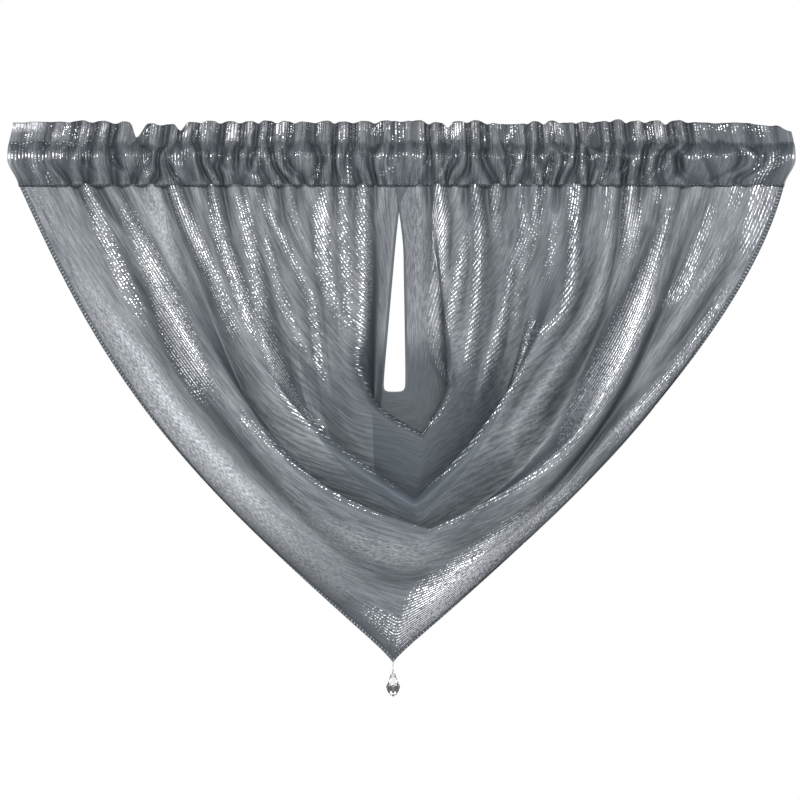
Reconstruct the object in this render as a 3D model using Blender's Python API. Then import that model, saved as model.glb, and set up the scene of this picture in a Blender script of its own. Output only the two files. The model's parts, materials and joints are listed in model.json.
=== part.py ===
"""Sheer swag with a gathered rod pocket, a cowl draped to a point, and a glass drop.

Sizes are in millimetres, and new_object turns them into metres. +Z is up, +X runs along the
rod pocket and the front faces -Y. The origin is on the pocket's axis, halfway along it.

The cloth is a family of fold lines. Each line leaves the pocket at a pleat on the left, dips
to the middle and climbs to the pleat of the same number on the right. Number 0 is the neck
edge around the open slit, whole numbers are ridges, halves are the valleys between them, and
the last number is the free edge.
"""
import math
from collections import namedtuple

import bmesh
import bpy
import numpy as np
from mathutils.geometry import tessellate_polygon

MILLIMETRE = 0.001

# Heading: a pocket rounded over a rod, a frill standing on it and a seam hanging under it.
WIDTH = 560.0            # end to end of the pocket
BORE = 20.0              # width that the pocket leaves for the rod
POCKET_RADIUS = 11.2     # outside, between pleats
SEAM_DROP = 18.0         # from the axis to the seam where the panel is gathered in
SEAM_WIDTH = 546.0       # end to end of the seam
FRILL_WIDTH = 554.0      # end to end of the frill's top
FRILL_SHEET = 1.4
SEAM_SHEET = 1.6
RIDGE_SWELL = 0.6       # how much of a pleat's height the pocket's round keeps
FRILL_SWAY = 1.1         # how much of it the frill keeps
BORE_SIDES = 16

# Panel.
SHEET = 1.2              # thickness of the cloth
CLEARANCE = 0.3          # between pieces that are sewn together
NECK_HALF = 0.6          # half of the slit's width where it meets the seam
VALLEY_SHARE = 0.8       # depth of a valley as a share of its ridges' height
STEPS = 26               # steps along a fold line, from the pocket to the middle
STEP_EVENNESS = 0.5      # 1 spaces the steps evenly, less gathers them at the middle

# Glass drop and the thread that it hangs on.
DROP_TOP = 363.5         # below the pocket's axis
DROP_SIDES = 8
DROP_HOLE = 1.3
DROP_HOLE_DEPTH = 2.2    # below the drop's top
THREAD = 0.5
THREAD_SPREAD = 2.6      # half of the loop's width, front to back
THREAD_FLATNESS = 2.2    # 1 is an ellipse, more lays its foot flat through the hole
THREAD_STEPS = 12        # along each half of the loop
THREAD_SIDES = 6

# One row for a pleat, counted outwards from the slit. place is its distance from the middle,
# height how far its ridge stands out at the seam, run the share of the way to the middle
# after which it has died out, crest the frill's top over it, and dip the frill's top over
# the valley beyond it.
Pleat = namedtuple("Pleat", "place height run crest dip")
LEFT_PLEATS = [
    Pleat(12, 2.5, 0.70, 28.5, 25.0),
    Pleat(26, 4.0, 0.85, 28.0, 26.0),
    Pleat(41, 3.0, 0.60, 27.5, 26.5),
    Pleat(53, 4.5, 0.85, 28.0, 26.0),
    Pleat(68, 2.5, 0.45, 27.5, 25.5),
    Pleat(81, 3.5, 0.70, 28.0, 25.0),
    Pleat(94, 4.5, 0.80, 28.5, 26.5),
    Pleat(107, 3.0, 0.55, 28.0, 26.5),
    Pleat(121, 4.0, 0.65, 28.0, 25.0),
    Pleat(134, 5.0, 0.90, 28.0, 26.5),
    Pleat(147, 2.5, 0.45, 27.5, 21.5),
    Pleat(165, 5.0, 0.80, 26.0, 24.5),
    Pleat(178, 3.0, 0.60, 26.5, 17.0),
    Pleat(196, 4.5, 0.70, 27.5, 25.0),
    Pleat(210, 4.5, 0.90, 28.0, 27.0),
    Pleat(226, 5.0, 0.75, 28.5, 27.0),
    Pleat(242, 1.5, 0.50, 27.5, 27.5),
    Pleat(258, 1.5, 0.60, 27.5, 27.0),
]
RIGHT_PLEATS = [
    Pleat(12, 3.0, 0.70, 28.5, 24.5),
    Pleat(26, 5.0, 0.85, 27.0, 23.5),
    Pleat(39, 2.5, 0.55, 28.0, 27.0),
    Pleat(53, 4.5, 0.80, 28.5, 24.5),
    Pleat(69, 3.5, 0.60, 26.0, 25.0),
    Pleat(82, 2.5, 0.40, 26.0, 25.5),
    Pleat(94, 4.0, 0.65, 28.0, 24.0),
    Pleat(106, 4.0, 0.70, 28.5, 26.0),
    Pleat(117, 2.5, 0.40, 27.0, 26.5),
    Pleat(128, 5.0, 0.90, 27.5, 27.0),
    Pleat(140, 3.0, 0.60, 28.0, 27.5),
    Pleat(152, 4.0, 0.65, 29.0, 26.0),
    Pleat(164, 5.0, 0.85, 28.0, 27.0),
    Pleat(178, 3.5, 0.50, 28.5, 24.0),
    Pleat(193, 4.5, 0.90, 28.5, 27.0),
    Pleat(211, 2.5, 0.60, 27.0, 26.5),
    Pleat(232, 4.5, 0.80, 27.0, 25.0),
    Pleat(254, 5.0, 0.70, 25.0, 24.0),
]
LEFT_EDGE_CREST = 27.0
RIGHT_EDGE_CREST = 20.5
EDGE_NUMBER = len(LEFT_PLEATS) + 1

# One row for a fold line that shapes the drape; the lines between follow smoothly. number
# is the pleat that it belongs to. across and drop place its middle right of and below the
# pocket's axis, and forward is how far that middle stands in front of it. Each arm is a
# conic arc: it leaves the seam leaning inwards by lean degrees, reaches the middle rising
# outwards by rise degrees, full is how near it comes to the corner of those two tangents,
# and belly is how far it swells forward halfway.
Line = namedtuple("Line", "number across drop forward left right")
Arm = namedtuple("Arm", "lean full rise belly")
LINES = [
    Line(0, -5.5, 165, -4, Arm(-5, 0.92, 0, -2), Arm(-1, 0.92, 0, -2)),      # neck edge
    Line(1, 5, 204, 0, Arm(0, 0.86, 8, -3), Arm(0, 0.86, 12, -3)),           # behind rim 1
    Line(2, 14.5, 194, 12, Arm(0, 0.84, 28, 4), Arm(-3, 0.88, 58, 4)),       # rim 1
    Line(7, 9, 254, 4, Arm(4, 0.78, 8, -4), Arm(0, 0.70, 16, -4)),           # behind rim 2
    Line(10, 9.5, 240, 26, Arm(11, 0.70, 33, 5), Arm(0, 0.42, 40, 5)),       # rim 2
    Line(12.5, 14, 274, 18, Arm(20, 0.72, 6, -5), Arm(5, 0.55, 10, -5)),     # behind rim 3
    Line(15, 20, 261.5, 36, Arm(30, 0.69, 16, 5), Arm(10, 0.58, 23, 6)),     # rim 3
    Line(16.3, 8, 288, 35, Arm(29, 0.60, 5, 0), Arm(15, 0.48, 8, -4)),       # lower panel
    Line(17.8, -1, 325, 25, Arm(25, 0.52, 26, 2), Arm(19, 0.44, 27, 3)),
    Line(19, -6, 355, 8, Arm(24, 0.62, 41, 0), Arm(14, 0.50, 40, 0)),        # free edge
]

# One row for a soft fold on one side that dies out before the middle. number is the line
# that its ridge follows, spread its half width in lines, height how far it stands out at
# its strongest, which is at the share peak of the way to the middle, and run where it ends.
Fold = namedtuple("Fold", "number spread height peak run")
LEFT_FOLDS = [
    Fold(4.6, 1.1, 4.0, 0.30, 0.62),
    Fold(6.8, 1.0, 4.5, 0.36, 0.75),
    Fold(8.6, 0.8, -3.0, 0.30, 0.60),
    Fold(12.0, 1.1, 5.5, 0.28, 0.60),
    Fold(13.6, 0.9, -3.5, 0.34, 0.70),
    Fold(16.3, 1.0, 6.0, 0.30, 0.62),
    Fold(17.7, 1.2, -3.0, 0.36, 0.80),
]
RIGHT_FOLDS = [
    Fold(4.3, 1.1, 5.0, 0.34, 0.66),
    Fold(6.0, 0.9, -3.5, 0.34, 0.60),
    Fold(7.6, 1.0, 4.0, 0.30, 0.60),
    Fold(11.8, 1.1, 5.5, 0.32, 0.70),
    Fold(13.4, 0.9, -3.5, 0.34, 0.66),
    Fold(16.9, 1.1, 6.0, 0.36, 0.78),
    Fold(18.1, 0.8, -3.0, 0.36, 0.70),
]

# One row for a ring of the drop: distance below its top, radius, and its turn in steps.
Ring = namedtuple("Ring", "below radius turn")
DROP_RINGS = [
    Ring(0.0, 0.8, 0.0),
    Ring(1.0, 1.3, 0.5),
    Ring(4.4, 2.4, 0.0),
    Ring(8.2, 4.0, 0.5),
    Ring(11.4, 5.0, 0.0),
    Ring(14.4, 4.3, 0.5),
    Ring(17.0, 2.2, 0.0),
    Ring(18.5, 0.5, 0.5),
]

CLOTH_COLOUR = (0.16, 0.17, 0.20)
GLASS_COLOUR = (0.82, 0.80, 0.80)
THREAD_COLOUR = (0.85, 0.85, 0.86)


def clear_scene():
    for old in list(bpy.data.objects):
        bpy.data.objects.remove(old, do_unlink=True)


def material(name, colour, roughness, metallic=0.0):
    made = bpy.data.materials.new(name)
    made.use_nodes = True
    shader = made.node_tree.nodes["Principled BSDF"]
    shader.inputs["Base Color"].default_value = (*colour, 1.0)
    shader.inputs["Roughness"].default_value = roughness
    shader.inputs["Metallic"].default_value = metallic
    return made


def new_object(name, points, faces, look):
    """One closed piece from points in millimetres, its faces turned outwards."""
    mesh = bpy.data.meshes.new(name)
    mesh.from_pydata((np.asarray(points) * MILLIMETRE).tolist(), [], faces)
    solid = bmesh.new()
    solid.from_mesh(mesh)
    bmesh.ops.recalc_face_normals(solid, faces=solid.faces)
    bmesh.ops.triangulate(solid, faces=solid.faces, quad_method="SHORT_EDGE")
    solid.to_mesh(mesh)
    solid.free()
    mesh.materials.append(look)
    made = bpy.data.objects.new(name, mesh)
    bpy.context.scene.collection.objects.link(made)
    return made


def smooth_step(share):
    share = np.clip(share, 0.0, 1.0)
    return share * share * (3.0 - 2.0 * share)


def smooth_through(knots, values, places):
    """Cubic curve through the values that never overshoots: level at every peak and dip."""
    knots = np.asarray(knots, float)
    values = np.asarray(values, float)
    widths = np.diff(knots)
    slopes = np.diff(values) / widths
    turns = slopes[:-1] * slopes[1:]
    total = slopes[:-1] + slopes[1:]
    inner = np.where(turns > 0.0, 2.0 * turns / np.where(total == 0.0, 1.0, total), 0.0)
    ends = np.concatenate([slopes[:1], inner, slopes[-1:]])
    place = np.clip(np.searchsorted(knots, places, side="right") - 1, 0, len(widths) - 1)
    share = (places - knots[place]) / widths[place]
    rest = 1.0 - share
    return (values[place] * rest * rest * (1.0 + 2.0 * share)
            + ends[place] * widths[place] * share * rest * rest
            + values[place + 1] * share * share * (3.0 - 2.0 * share)
            - ends[place + 1] * widths[place] * share * share * rest)


def seam_lines(pleats, edge_crest):
    """Numbers, places, waves, runs and frill tops of one side's lines at the seam."""
    numbers = [0.0]
    places = [NECK_HALF]
    waves = [0.0]
    runs = [pleats[0].run]
    crests = [pleats[0].crest - 1.0]
    outer = pleats[1:] + [None]
    for count, (pleat, beyond) in enumerate(zip(pleats, outer), start=1):
        numbers += [count, count + 0.5]
        if beyond is None:
            valley_place = (pleat.place + SEAM_WIDTH / 2) / 2
            valley_height = pleat.height / 2
        else:
            valley_place = (pleat.place + beyond.place) / 2
            valley_height = (pleat.height + beyond.height) / 2
        places += [pleat.place, valley_place]
        waves += [pleat.height, -VALLEY_SHARE * valley_height]
        runs += [pleat.run, pleat.run]
        crests += [pleat.crest, pleat.dip]
    return (np.array(numbers + [float(EDGE_NUMBER)]), np.array(places + [SEAM_WIDTH / 2]),
            np.array(waves + [0.0]), np.array(runs + [pleats[-1].run]),
            np.array(crests + [edge_crest]))


def line_values(column, numbers, side=None):
    """One column of LINES at each line's number."""
    knots = [line.number for line in LINES]
    source = LINES if side is None else [getattr(line, side) for line in LINES]
    return smooth_through(knots, [getattr(row, column) for row in source], numbers)


def conic_arc(start, end, lean, rise, full, shares):
    """Points of a conic arc at shares of its length, in a plane with x inwards and z up.

    It starts downwards, leaning inwards by lean, and ends coming in from a rise behind it.
    """
    down = np.array([math.sin(lean), -math.cos(lean)])
    back = np.array([-math.cos(rise), math.sin(rise)])
    reach = np.linalg.solve(np.column_stack([down, -back]), end - start)[0]
    corner = start + reach * down
    weight = full / (1.0 - full)
    step = np.linspace(0.0, 1.0, 160)[:, None]
    rest = 1.0 - step
    pull = 2.0 * weight * step * rest
    arc = (rest * rest * start + pull * corner + step * step * end) / (
        rest * rest + pull + step * step)
    travel = np.concatenate([[0.0], np.cumsum(np.linalg.norm(np.diff(arc, axis=0), axis=1))])
    wanted = shares * travel[-1]
    return np.column_stack([np.interp(wanted, travel, arc[:, 0]),
                            np.interp(wanted, travel, arc[:, 1])])


def step_shares():
    even = np.linspace(0.0, 1.0, STEPS + 1)
    return STEP_EVENNESS * even + (1.0 - STEP_EVENNESS) * np.sin(even * math.pi / 2)


def fold_swell(folds, numbers, shares):
    """How far one side's soft folds stand out, for each line and each step along it."""
    total = np.zeros((len(numbers), len(shares)))
    for fold in folds:
        across = np.clip(1.0 - ((numbers - fold.number) / fold.spread) ** 2, 0.0, 1.0) ** 2
        along = smooth_step(shares / fold.peak)
        along *= 1.0 - smooth_step((shares - fold.peak) / (fold.run - fold.peak))
        total += fold.height * across[:, None] * along
    return total


def arm_points(side, pleats, folds, edge_crest, outwards):
    """Grid of one side: a row for each fold line, from the seam to the middle."""
    numbers, places, waves, runs, _ = seam_lines(pleats, edge_crest)
    shares = step_shares()
    across = line_values("across", numbers)
    drops = line_values("drop", numbers)
    forward = line_values("forward", numbers)
    leans = np.radians(line_values("lean", numbers, side))
    rises = np.radians(line_values("rise", numbers, side))
    fulls = line_values("full", numbers, side)
    bellies = line_values("belly", numbers, side)
    swell = fold_swell(folds, numbers, shares)
    grid = np.zeros((len(numbers), len(shares), 3))
    for row in range(len(numbers)):
        start = np.array([-places[row], -SEAM_DROP - CLEARANCE])
        end = np.array([-outwards * across[row], -drops[row]])
        arc = conic_arc(start, end, leans[row], rises[row], fulls[row], shares)
        grid[row, :, 0] = -outwards * arc[:, 0]
        grid[row, :, 2] = arc[:, 1]
        fade = 1.0 - smooth_step(shares / runs[row])
        grid[row, :, 1] = -(waves[row] * fade + forward[row] * smooth_step(shares)
                            + bellies[row] * np.sin(math.pi * shares) + swell[row])
    return grid


def panel_points():
    """Grid of the whole panel, left seam to right seam along each fold line."""
    left = arm_points("left", LEFT_PLEATS, LEFT_FOLDS, LEFT_EDGE_CREST, -1.0)
    right = arm_points("right", RIGHT_PLEATS, RIGHT_FOLDS, RIGHT_EDGE_CREST, 1.0)
    return np.concatenate([left, right[:, -2::-1]], axis=1)


def grid_normals(grid):
    across = np.gradient(grid, axis=0)
    along = np.gradient(grid, axis=1)
    normals = np.cross(along, across)
    normals[:, [0, -1], 2] = 0.0
    return normals / np.linalg.norm(normals, axis=2, keepdims=True)


def build_panel(look):
    """The draped panel: its middle surface thickened both ways and closed at its edges."""
    middle = panel_points()
    offset = grid_normals(middle) * SHEET / 2
    rows, columns = middle.shape[:2]
    count = rows * columns
    points = np.concatenate([(middle + offset).reshape(-1, 3), (middle - offset).reshape(-1, 3)])
    index = np.arange(count).reshape(rows, columns)
    faces = []
    for row in range(rows - 1):
        for column in range(columns - 1):
            near = [index[row, column], index[row, column + 1],
                    index[row + 1, column + 1], index[row + 1, column]]
            faces.append(near)
            faces.append([corner + count for corner in reversed(near)])
    rim = np.concatenate([index[0, :-1], index[:-1, -1], index[-1, :0:-1], index[:0:-1, 0]])
    for here, beyond in zip(rim, np.roll(rim, -1)):
        faces.append([here, here + count, beyond + count, beyond])
    return new_object("panel", points, faces, look)


def heading_sections():
    """Seam places, waves and frill tops along the whole heading, left to right."""
    _, left_places, left_waves, _, left_crests = seam_lines(LEFT_PLEATS, LEFT_EDGE_CREST)
    _, right_places, right_waves, _, right_crests = seam_lines(RIGHT_PLEATS, RIGHT_EDGE_CREST)
    places = np.concatenate([-left_places[::-1], right_places])
    waves = np.concatenate([left_waves[::-1], right_waves])
    crests = np.concatenate([left_crests[::-1], right_crests])
    return places, waves, crests


def along_heading(place, height):
    """Where a place at the seam comes at a height: the pocket is the longest part."""
    widen = (WIDTH - SEAM_WIDTH) * smooth_step(height / SEAM_DROP + 1.0)
    narrow = (WIDTH - FRILL_WIDTH) * smooth_step((height - BORE / 2) / SEAM_DROP)
    return place * (SEAM_WIDTH + widen - narrow) / SEAM_WIDTH


def heading_outline(place, wave, crest):
    """Closed outline of the heading at one place: down the front and up the back."""
    radius = POCKET_RADIUS + RIDGE_SWELL * max(wave, 0.0)
    frill_y = -FRILL_SWAY * wave
    seam_y = -wave
    frill_root = POCKET_RADIUS + 1.0
    seam_root = -POCKET_RADIUS - 0.6
    outline = []
    for face, angles in ((-1.0, (55, 20, -20, -55)), (1.0, (-55, -20, 20, 55))):
        frill = [(frill_y + face * FRILL_SHEET / 2, crest),
                 (frill_y * 0.7 + face * FRILL_SHEET / 2, (crest + frill_root) / 2),
                 (face * 1.6, frill_root)]
        seam = [(face * 1.4, seam_root), (seam_y + face * SEAM_SHEET / 2, -SEAM_DROP)]
        pocket = [(face * radius * math.cos(math.radians(angle)),
                   radius * math.sin(math.radians(angle))) for angle in angles]
        outline += frill + pocket + seam if face < 0 else seam[::-1] + pocket + frill[::-1]
    return [(along_heading(place, z), y, z) for y, z in outline]


def build_heading(look):
    """The gathered rod pocket with its frill and seam, open from end to end."""
    sections = [heading_outline(*row) for row in zip(*heading_sections())]
    size = len(sections[0])
    points = [point for section in sections for point in section]
    faces = []
    for section in range(len(sections) - 1):
        first = section * size
        for corner in range(size):
            beyond = (corner + 1) % size
            faces.append([first + corner, first + beyond,
                          first + size + beyond, first + size + corner])
    turns = [math.radians(90 + 360 * side / BORE_SIDES) for side in range(BORE_SIDES)]
    bore = len(points)
    for end in (-SEAM_WIDTH / 2, SEAM_WIDTH / 2):
        ring = [(BORE / 2 * math.cos(turn), BORE / 2 * math.sin(turn)) for turn in turns]
        points += [(along_heading(end, z), y, z) for y, z in ring]
    for side in range(BORE_SIDES):
        beyond = (side + 1) % BORE_SIDES
        faces.append([bore + side, bore + BORE_SIDES + side,
                      bore + BORE_SIDES + beyond, bore + beyond])
    for first, hole in ((0, bore), (len(points) - 2 * BORE_SIDES - size, bore + BORE_SIDES)):
        outer = list(range(first, first + size))
        inner = list(range(hole, hole + BORE_SIDES))
        loops = [[(points[corner][1], points[corner][2], 0.0) for corner in loop]
                 for loop in (outer, inner)]
        corners = outer + inner
        faces += [[corners[corner] for corner in triangle]
                  for triangle in tessellate_polygon(loops)]
    return new_object("heading", points, faces, look)


def build_drop(look, centre_x, centre_y):
    """The faceted drop: turned rings of flat facets, with a hole across for its thread."""
    points = []
    for ring in DROP_RINGS:
        for side in range(DROP_SIDES):
            turn = 2 * math.pi * (side + ring.turn) / DROP_SIDES
            points.append((centre_x + ring.radius * math.cos(turn),
                           centre_y + ring.radius * math.sin(turn), -DROP_TOP - ring.below))
    faces = [list(range(DROP_SIDES)),
             list(range(len(points) - DROP_SIDES, len(points)))]
    for level in range(len(DROP_RINGS) - 1):
        shift = int(DROP_RINGS[level].turn > 0)
        upper = level * DROP_SIDES
        lower = upper + DROP_SIDES
        for side in range(DROP_SIDES):
            beyond = (side + 1) % DROP_SIDES
            under = lower + (side + shift) % DROP_SIDES
            under_before = lower + (side + shift - 1) % DROP_SIDES
            faces.append([upper + side, under_before, under])
            faces.append([upper + side, under, upper + beyond])
    drop = new_object("bead_drop", points, faces, look)
    bpy.ops.mesh.primitive_cylinder_add(
        vertices=12, radius=DROP_HOLE / 2 * MILLIMETRE, depth=20 * MILLIMETRE,
        location=(centre_x * MILLIMETRE, centre_y * MILLIMETRE,
                  -(DROP_TOP + DROP_HOLE_DEPTH) * MILLIMETRE),
        rotation=(math.pi / 2, 0, 0))
    cutter = bpy.context.object
    cutter.name = "thread_hole_cutter"
    cutter.hide_render = True
    cutter.display_type = "WIRE"
    hole = drop.modifiers.new("thread hole", "BOOLEAN")
    hole.operation = "DIFFERENCE"
    hole.object = cutter
    return drop


def build_thread(look, centre_x, centre_y, top):
    """A closed loop through the drop's hole, its top just under the cloth's point."""
    low = -(DROP_TOP + DROP_HOLE_DEPTH)
    turns = np.linspace(0, 2 * math.pi, 2 * THREAD_STEPS, endpoint=False)
    height = ((1 + np.cos(turns)) / 2) ** THREAD_FLATNESS
    path = np.column_stack([np.full_like(turns, centre_x),
                            centre_y + THREAD_SPREAD * np.sin(turns),
                            low + (top - low) * height])
    tangent = np.roll(path, -1, axis=0) - np.roll(path, 1, axis=0)
    tangent /= np.linalg.norm(tangent, axis=1, keepdims=True)
    sideways = np.array([1.0, 0.0, 0.0])
    outward = np.cross(tangent, sideways)
    points = []
    for place, out in zip(path, outward):
        for side in range(THREAD_SIDES):
            turn = 2 * math.pi * side / THREAD_SIDES
            points.append(place + THREAD / 2 * (math.cos(turn) * out + math.sin(turn) * sideways))
    faces = []
    for step in range(len(path)):
        here = step * THREAD_SIDES
        ahead = (step + 1) % len(path) * THREAD_SIDES
        for side in range(THREAD_SIDES):
            beyond = (side + 1) % THREAD_SIDES
            faces.append([here + side, here + beyond, ahead + beyond, ahead + side])
    return new_object("bead_thread", points, faces, look)


def main():
    clear_scene()
    cloth = material("sheer voile", CLOTH_COLOUR, 0.55, 0.35)
    build_heading(cloth)
    build_panel(cloth)
    point = LINES[-1]
    build_drop(material("glass", GLASS_COLOUR, 0.05), point.across, -point.forward)
    thread_top = -point.drop - 2 * SHEET
    build_thread(material("clear thread", THREAD_COLOUR, 0.3), point.across, -point.forward,
                 thread_top)


main()
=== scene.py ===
"""Sheer glitter voile swag: gathered rod pocket, cowl draped to a point, glass drop.

The cloth is a family of fold lines numbered outwards from the slit: 0 is the neck edge,
whole numbers are the ridges of the pleats, halves the valleys, and 19 is the free edge.
Tables are in millimetres; pieces are in metres, +Z up, +X along the pocket, front to -Y.
"""
import json
import math
from collections import namedtuple

import bpy
import numpy as np
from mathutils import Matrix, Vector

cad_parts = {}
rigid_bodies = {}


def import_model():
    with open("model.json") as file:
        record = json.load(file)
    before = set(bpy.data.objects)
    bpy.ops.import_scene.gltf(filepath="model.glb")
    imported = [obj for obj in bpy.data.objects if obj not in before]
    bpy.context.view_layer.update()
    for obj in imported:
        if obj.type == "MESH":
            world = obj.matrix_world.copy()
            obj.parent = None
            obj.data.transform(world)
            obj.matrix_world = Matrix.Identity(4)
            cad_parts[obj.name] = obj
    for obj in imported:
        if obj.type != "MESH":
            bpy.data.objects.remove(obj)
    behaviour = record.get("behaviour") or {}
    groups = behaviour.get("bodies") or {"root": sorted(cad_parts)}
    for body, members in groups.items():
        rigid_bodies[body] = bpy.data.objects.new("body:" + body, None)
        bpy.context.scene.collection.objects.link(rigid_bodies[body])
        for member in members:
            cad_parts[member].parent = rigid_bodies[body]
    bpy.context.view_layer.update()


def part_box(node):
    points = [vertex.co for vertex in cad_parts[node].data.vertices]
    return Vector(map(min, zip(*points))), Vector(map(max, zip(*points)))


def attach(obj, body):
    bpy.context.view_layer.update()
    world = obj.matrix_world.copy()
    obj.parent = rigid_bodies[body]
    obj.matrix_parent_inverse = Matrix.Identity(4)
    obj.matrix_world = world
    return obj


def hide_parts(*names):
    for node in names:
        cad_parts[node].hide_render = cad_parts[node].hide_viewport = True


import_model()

bl_info = {
    "name": "Sheer swag",
    "version": (1, 0, 0),
    "blender": (4, 5, 0),
    "location": "3D View > Sidebar > Swag",
    "description": "Dresses a gathered sheer swag: voile, hems, stitches and a glass drop",
    "category": "Add Mesh",
}

MM = 0.001
POCKET_RADIUS = 11.2     # outside of the pocket between pleats
SEAM_DROP = 18.0         # pocket's axis to the seam
SEAM_WIDTH = 546.0
WIDTH = 560.0            # end to end of the pocket
FRILL_WIDTH = 554.0
FRILL_ROOT = 12.6        # stitch row between pocket and frill
FRILL_DEPTH = 0.7        # pocket's axis to the cloth at the frill's top
STITCHED_DEPTH = 1.6     # the same at the stitch row
SEAM_DEPTH = 0.8         # the same at the seam
FOREMOST = 1.8           # height at which the pocket stands out most
SMALL_GATHER = 1.1       # height of the heading's small gathers, four to a pleat
ROW_WAVER = 2.6          # how far the frill's stitch row goes up and down
BACK_SHARE = 0.4         # share of the front's gathers that the pocket's back has
TUCK = 1.2               # how far the panel's top reaches up into the seam
NECK_HALF = 0.6
NECK_STEP = 1.3          # how far the neck's right edge stands before its left one
NECK_RUN = 40.0          # depth below the seam over which that fades
LAP_LINES = 1.6          # lines out from the neck that lap with its edge
VALLEY_SHARE = 0.8
WAVE_SHARE = 0.55        # share of the gathers' height that the panel starts with
PLEAT_RUN = 0.22         # share of a pleat's run that its fine ridge keeps in the voile
FOLD_DEPTH = 3.5         # how far a fold stands out from full shade to full light
PANEL_LEVEL = 0.72       # where the panel's mean lies between the two
HEADING_LEVEL = 0.60
POINT_DRAW = 2.4         # how far the thread draws the cloth's point out
POINT_HALVING = 4.0      # distance to each side in which that halves
POINT_LINES = 1.4        # lines in from the free edge over which it fades
YARN_DRIFT = 0.22        # how far the innermost yarns drift towards the slit on the way down
DRIFT_LINES = 12.0       # lines over which that fades
HEM_ROW = 0.15           # lines between a hem's edge and the row that it lies towards
YARN_BEND = 1.6          # how far the metal yarns wander from straight, in all
LAYER_LIGHT = 0.17       # share of the light that one flat layer lets through
CREASE_SEEDS = {"left": 11, "right": 23}

# A pleat at the seam: its place across, how far it stands out, how far down the panel its
# ridge runs as a share of the line, and the frill's top at the pleat and beyond it.
Pleat = namedtuple("Pleat", "place height run crest dip")
LEFT_PLEATS = [Pleat(*row) for row in (
    (12, 2.5, 0.70, 28.5, 26.5), (26, 4.0, 0.85, 28.0, 26.8), (41, 3.0, 0.60, 27.5, 26.5),
    (53, 4.5, 0.85, 28.0, 26.8), (68, 2.5, 0.45, 27.5, 26.3), (81, 3.5, 0.70, 28.0, 26.5),
    (94, 4.5, 0.80, 28.5, 26.5), (107, 3.0, 0.55, 28.0, 26.5), (121, 4.0, 0.65, 28.0, 26.5),
    (134, 5.0, 0.90, 28.0, 26.5), (147, 2.5, 0.45, 27.5, 21.5), (163, 5.0, 0.80, 26.0, 25.0),
    (176, 3.0, 0.60, 26.5, 16.5), (194, 4.5, 0.70, 27.5, 26.5), (210, 4.5, 0.90, 28.0, 27.0),
    (226, 5.0, 0.75, 28.5, 27.0), (242, 1.5, 0.50, 27.5, 27.5), (258, 1.5, 0.60, 27.5, 27.0))]
RIGHT_PLEATS = [Pleat(*row) for row in (
    (12, 3.0, 0.70, 28.5, 26.0), (26, 5.0, 0.85, 27.0, 23.5), (39, 2.5, 0.55, 28.0, 27.0),
    (53, 4.5, 0.80, 28.5, 26.0), (69, 3.5, 0.60, 26.0, 26.0), (82, 2.5, 0.40, 26.0, 26.0),
    (94, 4.0, 0.65, 28.0, 25.5), (106, 4.0, 0.70, 28.5, 26.8), (117, 2.5, 0.40, 27.0, 26.5),
    (128, 5.0, 0.90, 27.5, 27.0), (140, 3.0, 0.60, 28.0, 27.5), (152, 4.0, 0.65, 29.0, 26.8),
    (164, 5.0, 0.85, 28.0, 27.0), (178, 3.5, 0.50, 28.5, 25.5), (193, 4.5, 0.90, 28.5, 27.0),
    (211, 1.5, 0.60, 27.0, 26.5), (232, 2.0, 0.80, 27.0, 26.8), (254, 2.5, 0.70, 25.0, 25.0))]
EDGE_CRESTS = {"left": 27.0, "right": 20.5}
PLEATS = {"left": LEFT_PLEATS, "right": RIGHT_PLEATS}
EDGE_NUMBER = len(LEFT_PLEATS) + 1

# A fold line: its number, where it crosses the middle across, down and forwards, and its arm
# to each side. An arm leaves the seam at a lean inwards of straight down, reaches the middle
# at a rise above level, in degrees, is as full towards its corner as a conic's share says,
# and its belly stands forwards halfway.
Line = namedtuple("Line", "number across drop forward left right")
Arm = namedtuple("Arm", "lean full rise belly")
LINES = [
    Line(0, -5.5, 165, -4, Arm(-5, 0.92, 0, -2), Arm(-1, 0.92, 0, -2)),
    Line(1, 5, 244, -3, Arm(-3, 0.80, 12, -5), Arm(-11, 0.80, 16, -5)),
    Line(2, 14.5, 194, 10, Arm(0, 0.84, 28, 4), Arm(-3, 0.88, 58, 4)),
    Line(2.5, 14.5, 200, 13, Arm(0.5, 0.84, 28, 5), Arm(-2, 0.86, 56, 5)),
    Line(7, 9, 254, 4, Arm(7.5, 0.70, 29, -3), Arm(0, 0.52, 34, -3)),
    Line(10, 9.5, 240, 23, Arm(11, 0.70, 33, 5), Arm(0, 0.42, 40, 5)),
    Line(10.6, 10, 247, 27, Arm(13, 0.70, 31, 6), Arm(1, 0.44, 38, 6)),
    Line(12.5, 14, 267, 19, Arm(19, 0.70, 18.5, -4), Arm(4, 0.52, 23, -4)),
    Line(15, 20, 261.5, 32, Arm(30, 0.69, 16, 5), Arm(10, 0.58, 23, 6)),
    Line(15.5, 17, 269, 33, Arm(30, 0.66, 14, 6), Arm(11.5, 0.56, 20, 6)),
    Line(16.3, 8, 288, 27, Arm(29, 0.60, 5, 0), Arm(15, 0.48, 8, -4)),
    Line(17.8, -1, 325, 21, Arm(25, 0.52, 26, 2), Arm(19, 0.44, 27, 3)),
    Line(19, -6, 355, 8, Arm(24, 0.62, 41, 0), Arm(14, 0.50, 40, 0)),
]
RIMS = (2, 10, 15, 19)   # lines that keep their sharp corner in the middle

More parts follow.
